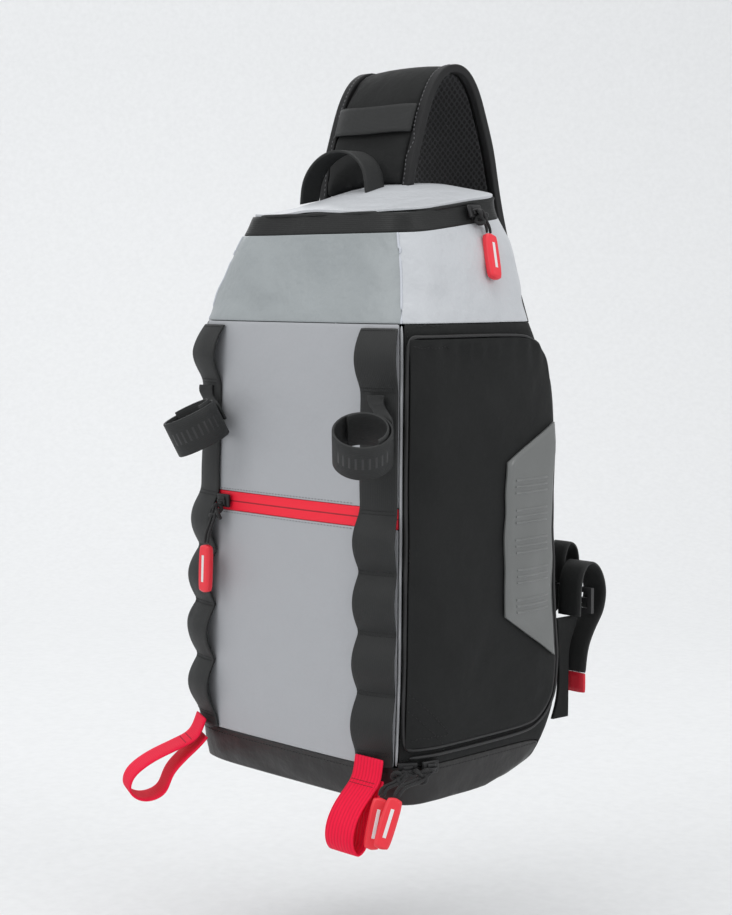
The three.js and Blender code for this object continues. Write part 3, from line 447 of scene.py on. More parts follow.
def lash_webbing(name: str, across: Sequence[float]) -> Finish:
    """The crimson webbing of the lash loops, with ribs across a direction."""
    return Finish(
        name, (244, 14, 62), 0.7, Texture.RIBS, 0.0028, 0.0004, across=tuple(across),
        contrast=0.2, wear=0.05, specular=0.25, edge=0.1)


# ---------------------------------------------------------------- meshes


def coordinates(mesh: Mesh) -> np.ndarray:
    """A mesh's vertices as rows."""
    co = np.empty(len(mesh.vertices) * 3)
    mesh.vertices.foreach_get("co", co)
    return co.reshape(-1, 3)


def move(mesh: Mesh, co: np.ndarray) -> None:
    """Puts a mesh's vertices in new places."""
    mesh.vertices.foreach_set("co", co.ravel())
    mesh.update()


def link(name: str, mesh: Mesh) -> Object:
    """A new object of a mesh, in the scene."""
    made = bpy.data.objects.new(name, mesh)
    bpy.context.scene.collection.objects.link(made)
    return made


def settle(piece: Object) -> Object:
    """Applies a piece's modifiers to its mesh."""
    bpy.context.view_layer.update()
    graph = bpy.context.evaluated_depsgraph_get()
    mesh = bpy.data.meshes.new_from_object(piece.evaluated_get(graph))
    piece.modifiers.clear()
    piece.data = mesh
    return piece


def round_off(piece: Object, levels: int) -> Object:
    """Subdivides a piece's surface, and applies it."""
    smoother = piece.modifiers.new("Smooth", "SUBSURF")
    smoother.levels = smoother.render_levels = levels
    return settle(piece)


def dense(node: str, levels: int = 2, crease: float = 0.8, sharp: float = 50.0) -> Object:
    """A finer copy of a CAD node, its flat faces rounded into one another.

    Args:
        node: the CAD node.
        levels: how often it is subdivided.
        crease: how firmly its sharp rims keep their place.
        sharp: the angle in degrees from which an edge is a rim.
    Returns:
        The new piece.
    """
    work = bmesh.new()
    work.from_mesh(NODES[node].data)
    bmesh.ops.remove_doubles(work, verts=work.verts, dist=0.00002)
    bmesh.ops.join_triangles(
        work, faces=work.faces, angle_face_threshold=math.radians(60),
        angle_shape_threshold=math.radians(80))
    keep = work.edges.layers.float.new("crease_edge")
    for edge in work.edges:
        if len(edge.link_faces) == 2 and edge.calc_face_angle() > math.radians(sharp):
            edge[keep] = crease
    mesh = bpy.data.meshes.new(node + "_soft")
    work.to_mesh(mesh)
    work.free()
    return round_off(link(node + "_soft", mesh), levels)


def outward(co: np.ndarray) -> np.ndarray:
    """The level unit vectors out of the bag's plan at each place, as rows."""
    flat = co - np.array(ROW_SHIFT)
    depth = np.where(flat[:, 1] < 0, FRONT_DEPTH, BACK_DEPTH)
    way = np.zeros_like(flat)
    way[:, 0] = np.sign(flat[:, 0]) * np.abs(flat[:, 0] / HALF_WIDTH) ** 5 / HALF_WIDTH
    way[:, 1] = np.sign(flat[:, 1]) * np.abs(flat[:, 1] / depth) ** 5 / depth
    return way / np.maximum(np.linalg.norm(way, axis=1, keepdims=True), 1e-9)


def clouds(co: np.ndarray, size: float, seed: float = 0.0) -> np.ndarray:
    """Smooth noise from -1 to 1 at each place, with lumps of a size in metres."""
    shift = Vector((seed, 2.1 * seed, 3.7 * seed))
    return np.array([noise.noise(Vector(p) / size + shift) for p in co])


# How far each region's cloth stands out or in: its broad and its small lumps.
LUMPS = {
    "side": (0.0034, 0.0009),
    "yoke": (0.0046, 0.0014),
    "foot": (0.0006, 0.0011),
    "front": (0.0005, 0.0002),
}
BROAD_SIZE, SMALL_SIZE = 0.055, 0.021
PUCKER_PITCH, PUCKER_DEPTH = 0.0145, 0.001
CREASE_PITCH, CREASE_DEPTH = 0.013, 0.0009
SLANT_PITCH, SLANT_DEPTH = 0.011, 0.0005
LID_DEPTH = 0.0018


def body_waves(co: np.ndarray) -> np.ndarray:
    """How far the bag's cloth stands out or in, in metres: soft folds, dents and puckers.

    Args:
        co: places in the row frame, as rows.
    Returns:
        The distances along outward().
    """
    flat = co - np.array(ROW_SHIFT)
    x, y, z = flat.T
    side = smooth(np.abs(x), 0.092, 0.109) * smooth(z, 0.03, 0.07) * (1 - smooth(z, 0.29, 0.31))
    yoke = smooth(z, SEAM + 0.004, SEAM + 0.02) * (1 - smooth(z, RIM - 0.02, RIM - 0.004))
    foot = smooth(z, 0.0, 0.006) * (1 - smooth(z, BASE_TOP - 0.012, BASE_TOP - 0.002))
    front = smooth(-y, 0.05, 0.07) * smooth(z, 0.03, 0.06) * (1 - smooth(z, 0.29, 0.31))
    broad, small = clouds(co, BROAD_SIZE), clouds(co, SMALL_SIZE, 5.0)
    under_seam = np.exp(-np.abs(z - SEAM + 0.015) / 0.012)
    pucker = np.sin(2 * math.pi * y / PUCKER_PITCH + 3 * broad) * under_seam
    creases = np.sin((z + 0.45 * y) / CREASE_PITCH + 4 * broad) * smooth(broad, -0.1, 0.35)
    lid = smooth(z, RIM - 0.016, RIM - 0.004)
    slant = np.sin((x - y + 1.2 * z) / SLANT_PITCH + 5 * broad) * smooth(broad, -0.15, 0.3)
    lumps = {name: wide * broad + fine * small for name, (wide, fine) in LUMPS.items()}
    waves = side * (lumps["side"] + PUCKER_DEPTH * pucker + CREASE_DEPTH * creases)
    waves += yoke * (lumps["yoke"] + SLANT_DEPTH * slant) + lid * LID_DEPTH * broad
    return waves + foot * lumps["foot"] + front * lumps["front"]


def finish_piece(
    piece: Object, finish: Finish, nodes: Sequence[str] = ()
) -> Object:
    """Dresses a finished piece and hangs it on the bag's one body.

    Args:
        piece: the piece, in place.
        finish: its finish.
        nodes: the CAD nodes that it stands for.
    Returns:
        The piece.
    """
    mesh = piece.data
    mesh.materials.clear()
    mesh.materials.append(finish.build())
    mesh.shade_smooth()
    mesh.set_sharp_from_angle(angle=math.radians(48))
    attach(piece, "root")
    if nodes:
        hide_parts(*nodes)
    log.info("%s: %d faces, finish %s", piece.name, len(mesh.polygons), finish.name)
    return piece


def dress_node(node: str, finish: Finish, bevel: float = 0.0) -> None:
    """Gives a CAD node that stays as it is its finish, and softer edges if bevel is set."""
    piece = NODES[node]
    piece.data.materials.clear()
    piece.data.materials.append(finish.build())
    if bevel:
        softer = piece.modifiers.new("Edges", "BEVEL")
        softer.width = bevel
        softer.segments = 2
        softer.limit_method = "ANGLE"
    log.info("%s: CAD node, finish %s", node, finish.name)


def wave(piece: Object, distance: Callable[[np.ndarray], np.ndarray]) -> Object:
    """Moves a piece's vertices out of the bag's plan by a distance for each place."""
    co = coordinates(piece.data)
    move(piece.data, co + outward(co) * distance(co)[:, None])
    return piece


def principal(node: str) -> tuple[Vector, list[Vector], list[float]]:
    """Where a CAD node is and how it lies.

    Args:
        node: the CAD node.
    Returns:
        Its middle, its directions from longest to shortest, and its sizes along them.
    """
    co = coordinates(NODES[node].data)
    _, ways = np.linalg.eigh(np.cov((co - co.mean(0)).T))
    ways = ways[:, ::-1].T
    along = (co - co.mean(0)) @ ways.T
    middle = co.mean(0) + ((along.max(0) + along.min(0)) / 2) @ ways
    return Vector(middle), [Vector(w) for w in ways], list(along.max(0) - along.min(0))


def chain(points: Iterable[Vector], start: Vector, reach: float = 0.05) -> list[Vector]:
    """Puts points in order, each after its nearest neighbour.

    Args:
        points: the points, in any order.
        start: the line starts at the point nearest to this one.
        reach: the line ends where no point is nearer than this.
    Returns:
        The points in order.
    """
    left = list(points)
    here, line = start, []
    while left:
        nearest = min(left, key=lambda p: (p - here).length)
        if line and (nearest - here).length > reach:
            break
        left.remove(nearest)
        line.append(nearest)
        here = nearest
    return line


def spine(node: str, size: float, start: Vector) -> list[Vector]:
    """The middle line of a slim CAD node: its vertices gathered into lumps of a size."""
    left = [Vector(p) for p in coordinates(NODES[node].data)]
    lumps = []
    while left:
        first = left[0]
        near = [p for p in left if (p - first).length < size]
        left = [p for p in left if (p - first).length >= size]
        lumps.append(sum(near, Vector()) / len(near))
    return chain(lumps, start)


def even(line: Sequence[Vector], pitch: float) -> list[Vector]:
    """Points at an even pitch along a line."""
    out, carry = [line[0]], 0.0
    for a, b in zip(line, line[1:]):
        length = (b - a).length
        place = pitch - carry
        while place <= length:
            out.append(a.lerp(b, place / length))
            place += pitch
        carry = (carry + length) % pitch
    return out


def seam_line(first: str, second: str, reach: float = 0.0012) -> list[Vector]:
    """The outer line along which two CAD panels meet, from its lowest point up.

    Args:
        first: one panel.
        second: the other.
        reach: how far apart their edges may be.
    Returns:
        The line's points.
    """
    other = coordinates(NODES[second].data)
    near = [
        p for p in coordinates(NODES[first].data)
        if np.linalg.norm(other - p, axis=1).min() < reach
    ]
    best: dict[int, np.ndarray] = {}
    middle = np.array(ROW_SHIFT)
    for p in near:
        key = round(p[2] / 0.003)
        if key not in best or np.hypot(*(p - middle)[:2]) > np.hypot(*(best[key] - middle)[:2]):
            best[key] = p
    return [Vector(best[key]) for key in sorted(best)]


class Skin:
    """The outer face of some pieces, onto which threads are laid."""

    def __init__(self, pieces: Sequence[Object]) -> None:
        """Gathers the pieces' faces."""
        points: list[Vector] = []
        faces: list[tuple[int, ...]] = []
        for piece in pieces:
            start = len(points)
            points += [v.co.copy() for v in piece.data.vertices]
            faces += [tuple(start + i for i in p.vertices) for p in piece.data.polygons]
        self.tree = BVHTree.FromPolygons(points, faces)

    def lay(self, place: Vector, way: Vector, reach: float = 0.03) -> tuple[Vector, Vector] | None:
        """Where a ray from outside meets the skin.

        Args:
            place: a point near the skin.
            way: the direction out of the skin.
            reach: how far outside the ray starts.
        Returns:
            The point and the direction out of the skin there, or None.
        """
        hit, normal, _, _ = self.tree.ray_cast(place + way * reach, -way, 2.5 * reach)
        if hit is None:
            return None
        return hit, normal if normal.dot(way) > 0 else -normal


@dataclass
class Stitching:
    """Rows of threads joined into one piece."""

    name: str
    finish: Finish
    pitch: float = 0.003
    length: float = 0.0021
    radius: float = 0.00032
    work: bmesh.types.BMesh = field(default_factory=bmesh.new)
    count: int = 0

    def stitch(self, place: Vector, along: Vector, out: Vector) -> None:
        """Adds one thread with its middle on a surface, which faces out."""
        side = along.cross(out).normalized()
        lie = Matrix((along.normalized(), side, out)).transposed().to_4x4()
        size = Matrix.Diagonal((self.length / 2, self.radius, self.radius, 1.0))
        spot = Matrix.Translation(place + out * self.radius * 0.25)
        bmesh.ops.create_uvsphere(
            self.work, u_segments=6, v_segments=4, radius=1.0, matrix=spot @ lie @ size)
        self.count += 1

    def row(self, line: Sequence[Vector], skin: Skin, way: Callable[[Vector], Vector]) -> None:
        """Lays a row of threads along a line near a skin, which faces the way at each point."""
        laid = [skin.lay(p, way(p)) for p in even(line, self.pitch)]
        for here, after in zip(laid, laid[1:]):
            if here and after and (after[0] - here[0]).length < 2 * self.pitch:
                middle = here[0].lerp(after[0], 0.5)
                self.stitch(middle, after[0] - here[0], here[1])

    def done(self) -> Object | None:
        """Makes the piece of all the rows."""
        if not self.count:
            self.work.free()
            return None
        mesh = bpy.data.meshes.new(self.name)
        self.work.to_mesh(mesh)
        self.work.free()
        return finish_piece(link(self.name, mesh), self.finish)


def plan_way(place: Vector) -> Vector:
    """The direction out of the bag's plan near a point."""
    return Vector(outward(np.array([place]))[0])


def level_line(height: float, start: float, end: float, steps: int = 120) -> list[Vector]:
    """Points on a level line round the bag, between two turns in degrees from straight ahead.

    Args:
        height: above the foot, in metres.
        start: the first turn, positive to the bag's right side wall.
        end: the last turn.
        steps: how many points.
    Returns:
        The points, on a superellipse of the plan's size.
    """
    line = []
    for i in range(steps + 1):
        turn = math.radians(start + (end - start) * i / steps)
        c, s = math.sin(turn), -math.cos(turn)
        depth = FRONT_DEPTH if s < 0 else BACK_DEPTH
        reach = (abs(c / HALF_WIDTH) ** 6 + abs(s / depth) ** 6) ** (-1 / 6)
        line.append(Vector((c * reach, s * reach, height)) + ROW_SHIFT)
    return line


def block(name: str, size: Sequence[float], place: Matrix, bevel: float) -> Object:
    """A block of three sizes in a place, with its edges rounded by the bevel."""
    work = bmesh.new()
    bmesh.ops.create_cube(work, size=1.0, matrix=place @ Matrix.Diagonal((*size, 1.0)))
    bmesh.ops.bevel(
        work, geom=work.edges[:], offset=bevel, offset_type="OFFSET", affect="EDGES",
        segments=3, profile=0.5, material=-1)
    mesh = bpy.data.meshes.new(name)
    work.to_mesh(mesh)
    work.free()
    return link(name, mesh)


def rod(name: str, line: Sequence[Vector], radius: float, closed: bool = False) -> Object:
    """A round cord along a line of points.

    Args:
        name: the piece's name.
        line: the points.
        radius: the cord's radius.
        closed: whether its end joins its start.
    Returns:
        The piece, as a mesh.
    """
    curve = bpy.data.curves.new(name + "_line", "CURVE")
    curve.dimensions = "3D"
    curve.bevel_depth = radius
    curve.bevel_resolution = 3
    curve.use_fill_caps = not closed
    path = curve.splines.new("POLY")
    path.points.add(len(line) - 1)
    for point, place in zip(path.points, line):
        point.co = (*place, 1.0)
    path.use_cyclic_u = closed
    guide = link(name + "_guide", curve)
    bpy.context.view_layer.update()
    graph = bpy.context.evaluated_depsgraph_get()
    mesh = bpy.data.meshes.new_from_object(guide.evaluated_get(graph))
    bpy.data.objects.remove(guide)
    return link(name, mesh)


def turned(middle: Vector, first: Vector, second: Vector, third: Vector) -> Matrix:
    """The matrix of a place with three directions."""
    return Matrix.Translation(middle) @ Matrix((first, second, third)).transposed().to_4x4()


def join(name: str, pieces: Sequence[Object]) -> Object:
    """Joins pieces into the first, under a new name."""
    work = bmesh.new()
    for piece in pieces:
        work.from_mesh(piece.data)
        bpy.data.objects.remove(piece)
    mesh = bpy.data.meshes.new(name)
    work.to_mesh(mesh)
    work.free()
    return link(name, mesh)


# ---------------------------------------------------------------- the bag's body


@dataclass
class Panels:
    """Cloth panels that are CAD nodes made finer, with the body's soft folds."""

    parts: dict[str, tuple[Finish, str, int]]
    made: dict[str, Object] = field(default_factory=dict)

    def build(self) -> None:
        """Makes each panel finer and lets it wave."""
        for node, (finish, slot, levels) in self.parts.items():
            piece = wave(dense(node, levels), body_waves)
            piece.name = node + "_cloth"
            self.made[node] = piece
            finish_piece(piece, finish, [node])


@dataclass
class Piping:
    """Round cords sewn along edges."""

    parts: dict[str, tuple[Finish, str]]

    def build(self) -> None:
        """Rounds each square CAD strip into a cord."""
        for node, (finish, slot) in self.parts.items():
            piece = wave(dense(node, 2, 0.0), body_waves)
            piece.name = node + "_cord"
            finish_piece(piece, finish, [node])


@dataclass
class TopFlap:
    """The lid: a crowned cloth with soft dents."""

    dent: float = 0.0028
    folds: float = 0.0022

    def build(self) -> Object:
        """Makes the lid finer and dents it."""
        piece = dense("top_flap", 3)
        wave(piece, body_waves)
        co = coordinates(piece.data)
        flat = co - np.array(ROW_SHIFT)
        depth = np.where(flat[:, 1] < 0, FRONT_DEPTH, BACK_DEPTH)
        edge = np.abs(flat[:, 0] / HALF_WIDTH) ** 2 + np.abs(flat[:, 1] / depth) ** 2
        inside = 1 - smooth(edge, 0.35, 0.8)
        away = np.hypot(flat[:, 0] + 0.045, flat[:, 1] + 0.02) / 0.03
        rise = self.folds * clouds(co, 0.05, 2.0) - self.dent * np.exp(-away * away)
        co[:, 2] += inside * rise
        move(piece.data, co)
        piece.name = "top_flap_cloth"
        return finish_piece(piece, PALE_GREY, ["top_flap"])


@dataclass
class Patch:
    """The moulded grip patch with its groups of ribs."""

    rib_pitch: float = 0.0042
    rib_radius: float = 0.0009
    sunk: float = 0.0003
    low: float = 0.118
    high: float = 0.212
    groups: int = 5
    group_gap: float = 0.006
    front_margin: float = 0.011
    rear_margin: float = 0.01
    steps: int = 12

    def ribs(self) -> list[float]:
        """The heights of the ribs, in groups."""
        share = (self.high - self.low + self.group_gap) / self.groups
        count = int((share - self.group_gap) / self.rib_pitch)
        return [
            self.low + g * share + k * self.rib_pitch
            for g in range(self.groups) for k in range(count)
        ]

    def build(self) -> Object:
        """Makes the patch finer and lays its level ribs on it."""
        piece = wave(dense("grip_patch", 2, 1.0), body_waves)
        piece.name = "grip_patch_rubber"
        skin = Skin([piece])
        depths = coordinates(piece.data)[:, 1]
        front, rear = depths.min() + self.front_margin, depths.max() - self.rear_margin
        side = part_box("grip_patch")[1].x
        bars = []
        for z in self.ribs():
            shares = [k / self.steps for k in range(self.steps + 1)]
            line = [Vector((side, front + (rear - front) * s, z + ROW_SHIFT.z)) for s in shares]
            laid = [skin.lay(p, plan_way(p)) for p in line]
            middle = [hit[0] - hit[1] * self.sunk for hit in laid if hit]
            bars.append(rod("bar", middle, self.rib_radius))
        finish_piece(join("grip_patch_ribs", bars), RUBBER)
        return finish_piece(piece, RUBBER, ["grip_patch"])


# ---------------------------------------------------------------- webbing


@dataclass
class Webbing:
    """Bands of webbing: CAD nodes made finer, with ribs across their own direction."""

    parts: dict[str, tuple[Finish, str, bool]]
    made: dict[str, Object] = field(default_factory=dict)

    def build(self) -> None:
        """Makes each band finer; those on the body follow its folds."""
        for node, (finish, slot, on_body) in self.parts.items():
            piece = dense(node, 2, 1.0 if "binding" in node else 0.85)
            if on_body:
                wave(piece, body_waves)
            piece.name = node + "_band"
            self.made[node] = piece
            finish_piece(piece, finish, [node])


RING_AXES = {"right": (0.3746, -0.3771, 0.847), "left": (-0.2419, -0.3635, 0.8996)}


@dataclass
class RingMarks:
    """Raised bars on the tool rings' outer faces."""

    count: int = 9
    pitch: float = 13.0
    reach: float = 0.0189
    size: tuple[float, float, float] = (0.0016, 0.0006, 0.0085)
    end_share: float = 0.86
    end_rise: float = 0.0042
    end_ahead: float = 0.0012

    def build(self) -> None:
        """Stands the bars round the front of each ring."""
        for name, axis in RING_AXES.items():
            middle = principal("tool_ring_" + name)[0]
            up = Vector(axis).normalized()
            ahead = Vector((0.71, -0.7, 0.0))
            ahead = (ahead - up * ahead.dot(up)).normalized()
            bars = []
            for k in range(self.count):
                turn = math.radians((k - (self.count - 1) / 2) * self.pitch)
                out = Matrix.Rotation(turn, 3, up) @ ahead
                spot = turned(middle + out * self.reach, up.cross(out), out, up)
                bars.append(block("bar", self.size, spot, 0.0002))
            piece = join(f"ring_marks_{name}", bars)
            finish_piece(piece, RUBBER_BLACK)
            self._end(name, middle, up, ahead)

    def _end(self, name: str, middle: Vector, up: Vector, ahead: Vector) -> None:
        """The webbing's loose end, which lies inside the ring and stands a little above it."""
        piece = dense("tool_ring_" + name, 2, 0.85)
        work = bmesh.new()
        work.from_mesh(piece.data)
        cut = (up.cross(ahead) * 0.8 - ahead * 0.6).normalized()
        bmesh.ops.bisect_plane(
            work, geom=work.verts[:] + work.edges[:] + work.faces[:], dist=1e-6,
            plane_co=middle, plane_no=cut, clear_inner=True)
        bmesh.ops.holes_fill(work, edges=[e for e in work.edges if e.is_boundary], sides=0)
        lifted = Matrix.Translation(middle + up * self.end_rise + ahead * self.end_ahead)
        shrink = lifted @ Matrix.Scale(self.end_share, 4) @ Matrix.Translation(-middle)
        bmesh.ops.transform(work, matrix=shrink, verts=work.verts)
        work.to_mesh(piece.data)
        work.free()
        piece.name = "ring_end_" + name
        finish_piece(piece, webbing("WebbingRing" + name.title(), up))


# ---------------------------------------------------------------- pulls


@dataclass
class Pull:
    """A zip's slider, its cord and its grip."""

    name: str
    tube: float = 0.0014
    tie: float = 0.0024

    def build(self) -> None:
        """Makes the slider, the cord, its knot and the grip."""
        self._slider()
        cord = dense(self.name + "_cord", 2, 0.0)
        cord.name = self.name + "_pull_cord"
        finish_piece(cord, CORD_FINISH, [self.name + "_cord"])
        self._knot()
        self._grip()

    def _slider(self) -> None:
        """A slider: a rounded body, a raised nose and a bridge that the cord goes through."""
        node = self.name + "_slider"
        middle, (long, wide, thin), (length, width, thick) = principal(node)
        if plan_way(middle).dot(thin) < 0:
            thin = -thin
        wide = thin.cross(long)
        spot = turned(middle - thin * thick * 0.2, long, wide, thin)
        body = block("body", (length, width, thick * 0.55), spot, 0.0011)
        spot = turned(middle + thin * thick * 0.12, long, wide, thin)
        nose = block("nose", (length * 0.5, width * 0.62, thick * 0.4), spot, 0.0008)
        arch = []
        for k in range(13):
            turn = math.pi * k / 12
            arch.append(
                middle + long * 0.0034 * math.cos(turn) + thin * (0.0006 + 0.0024 * math.sin(turn)))
        bridge = rod("bridge", arch, 0.0007)
        piece = join(node + "_cast", [body, nose, bridge])
        finish_piece(piece, SLIDER_METAL, [node])

    def _knot(self) -> None:
        """An overhand knot in the middle of the cord."""
        middle, (long, wide, thin), _ = principal(self.name + "_cord")
        middle = middle.lerp(principal(self.name + "_slider")[0], 0.45)
        size = self.tie
        line = []
        for k in range(48):
            t = 2 * math.pi * k / 48
            line.append(
                middle + wide * size * (math.sin(t) + 1.6 * math.sin(2 * t)) * 0.8
                + long * size * (math.cos(t) - 1.6 * math.cos(2 * t)) * 0.8
                - thin * size * 0.9 * math.sin(3 * t))
        piece = rod(self.name + "_knot", line, self.tube, True)
        finish_piece(piece, CORD_FINISH)

    def _grip(self) -> None:
        """The red grip, with a plain stripe on both faces."""
        node = self.name + "_grip"
        grip = dense(node, 2, 0.75, 35)
        grip.name = node + "_moulded"
        finish_piece(grip, GRIP_RED, [node])
        middle, (long, wide, thin), (length, width, thick) = principal(node)
        stripes = []
        for side in (-1, 1):
            spot = turned(middle + thin * side * thick * 0.5, long, wide, thin)
            stripes.append(block("stripe", (length * 0.56, width * 0.2, 0.0004), spot, 0.0001))
        finish_piece(join(node + "_stripes", stripes), STRIPE_WHITE)


# ---------------------------------------------------------------- padding


@dataclass
class Padding:
    """A padded piece, blown up a little by cloth simulation."""

    node: str
    finish: Finish
    slot: str
    voxel: float = 0.004
    cap: float = 0.0025
    guards: tuple[str, ...] = ()
    clear: tuple[float, float] = (0.002, 0.01)
    fill: float = 0.6

    def build(self) -> Object:
        """Makes the pad, swells it and keeps it clear of its neighbours."""
        piece = dense(self.node, 1, 0.6)
        piece.name = self.node + "_padded"
        self._swell(piece)
        piece = round_off(piece, 1)
        return finish_piece(piece, self.finish, [self.node])

    def _swell(self, piece: Object) -> None:
        """Runs the cloth, and moves each point by what the cap and the neighbours allow."""
        mesher = piece.modifiers.new("Voxels", "REMESH")
        mesher.mode = "VOXEL"
        mesher.voxel_size = self.voxel
        settle(piece)
        before = coordinates(piece.data)
        cloth = piece.modifiers.new("Cloth", "CLOTH")
        cloth.settings.use_pressure = True
        cloth.settings.uniform_pressure_force = 4.0
        cloth.settings.effector_weights.gravity = 0.0
        scene = bpy.context.scene
        for step in range(1, 21):
            scene.frame_set(step)
        settle(piece)
        scene.frame_set(1)
        shift = coordinates(piece.data) - before
        size = np.linalg.norm(shift, axis=1, keepdims=True)
        shift *= np.minimum(1.0, self.cap / np.maximum(size, 1e-9))
        if self.guards:
            shift *= self._room(before)[:, None]
        move(piece.data, before + shift)

    def _room(self, co: np.ndarray) -> np.ndarray:
        """How freely each point may move: not at all beside a neighbour, fully away from it."""
        skin = Skin([NODES[node] for node in self.guards])
        away = np.array([skin.tree.find_nearest(Vector(p))[3] for p in co])
        return smooth(away, *self.clear)


# ---------------------------------------------------------------- the studio


# Each light's name, place, side and watts.
LIGHTS = (
    ("Key", (-0.4, -2.2, 1.3), 1.4, 16.0),
    ("Side", (2.5, 0.4, 0.9), 1.2, 14.0),
    ("Top", (0.0, -0.1, 2.2), 1.6, 20.0),
    ("Rim", (-1.9, 1.1, 0.8), 1.2, 8.0),
)


@dataclass
class Studio:
    """The floor, the lights and the camera at the photograph's angle."""

    place: tuple[float, float, float] = (0.9524, -0.9913, -0.1467)
    turn: tuple[float, float, float] = (84.64, 0.0, 45.22)
    lens: float = 73.5
    floor: float = -0.62

    def build(self) -> None:
        """Sets the whole studio up."""
        self._camera()
        self._floor()
        bpy.context.scene.view_settings.view_transform = "Standard"
        for row in LIGHTS:
            self._light(*row)
        world = bpy.data.worlds.new("Studio")
        bpy.context.scene.world = world
        world.use_nodes = True
        sky = world.node_tree.nodes["Background"]
        sky.inputs["Color"].default_value = (0.93, 0.94, 0.95, 1.0)
        sky.inputs["Strength"].default_value = 0.72

    def _camera(self) -> None:
        """The camera, as fitted to the photograph."""
        data = bpy.data.cameras.new("Camera")
        data.sensor_fit = "VERTICAL"
        data.sensor_height = 36.0
        data.lens = self.lens
        camera = bpy.data.objects.new("Camera", data)
        camera.location = self.place
        camera.rotation_euler = [math.radians(a) for a in self.turn]
        bpy.context.scene.collection.objects.link(camera)
        bpy.context.scene.camera = camera

    def _floor(self) -> None:
        """A pale floor that curves up into a backdrop behind the bag."""
        work = bmesh.new()
        bmesh.ops.create_grid(work, x_segments=1, y_segments=60, size=4.0)
        bend, radius = 1.2, 1.0
        for vert in work.verts:
            past = vert.co.y - bend
            turn = min(max(past, 0.0) / radius, math.pi / 2)
            if past > 0:
                over = max(0.0, past - radius * math.pi / 2)
                vert.co.y = bend + radius * math.sin(turn)
                vert.co.z = radius * (1 - math.cos(turn)) + over
        spin = Matrix.Rotation(math.radians(self.turn[2]), 4, "Z")
        place = Matrix.Translation((0, 0, self.floor)) @ spin
        bmesh.ops.transform(work, matrix=place, verts=work.verts)
        mesh = bpy.data.meshes.new("Floor")
        work.to_mesh(mesh)
        work.free()
        floor = link("Floor", mesh)
        mesh.shade_smooth()
        pale = Finish("FloorPaper", (236, 237, 238), 0.8, Texture.GRAIN, 0.004, 0.00001, wear=0.01)
        mesh.materials.append(pale.build())

    def _light(self, name: str, place: Sequence[float], size: float, power: float) -> None:
        """A square soft light that faces the bag, with its side in metres and power in watts."""
        data = bpy.data.lights.new(name, "AREA")
        data.size = size
        data.energy = power
        lamp = bpy.data.objects.new(name, data)
        lamp.location = place
        aim = Vector((0.0, 0.0, -0.25)) - Vector(place)
        lamp.rotation_euler = aim.to_track_quat("-Z", "Y").to_euler()
        bpy.context.scene.collection.objects.link(lamp)


# ---------------------------------------------------------------- stitching


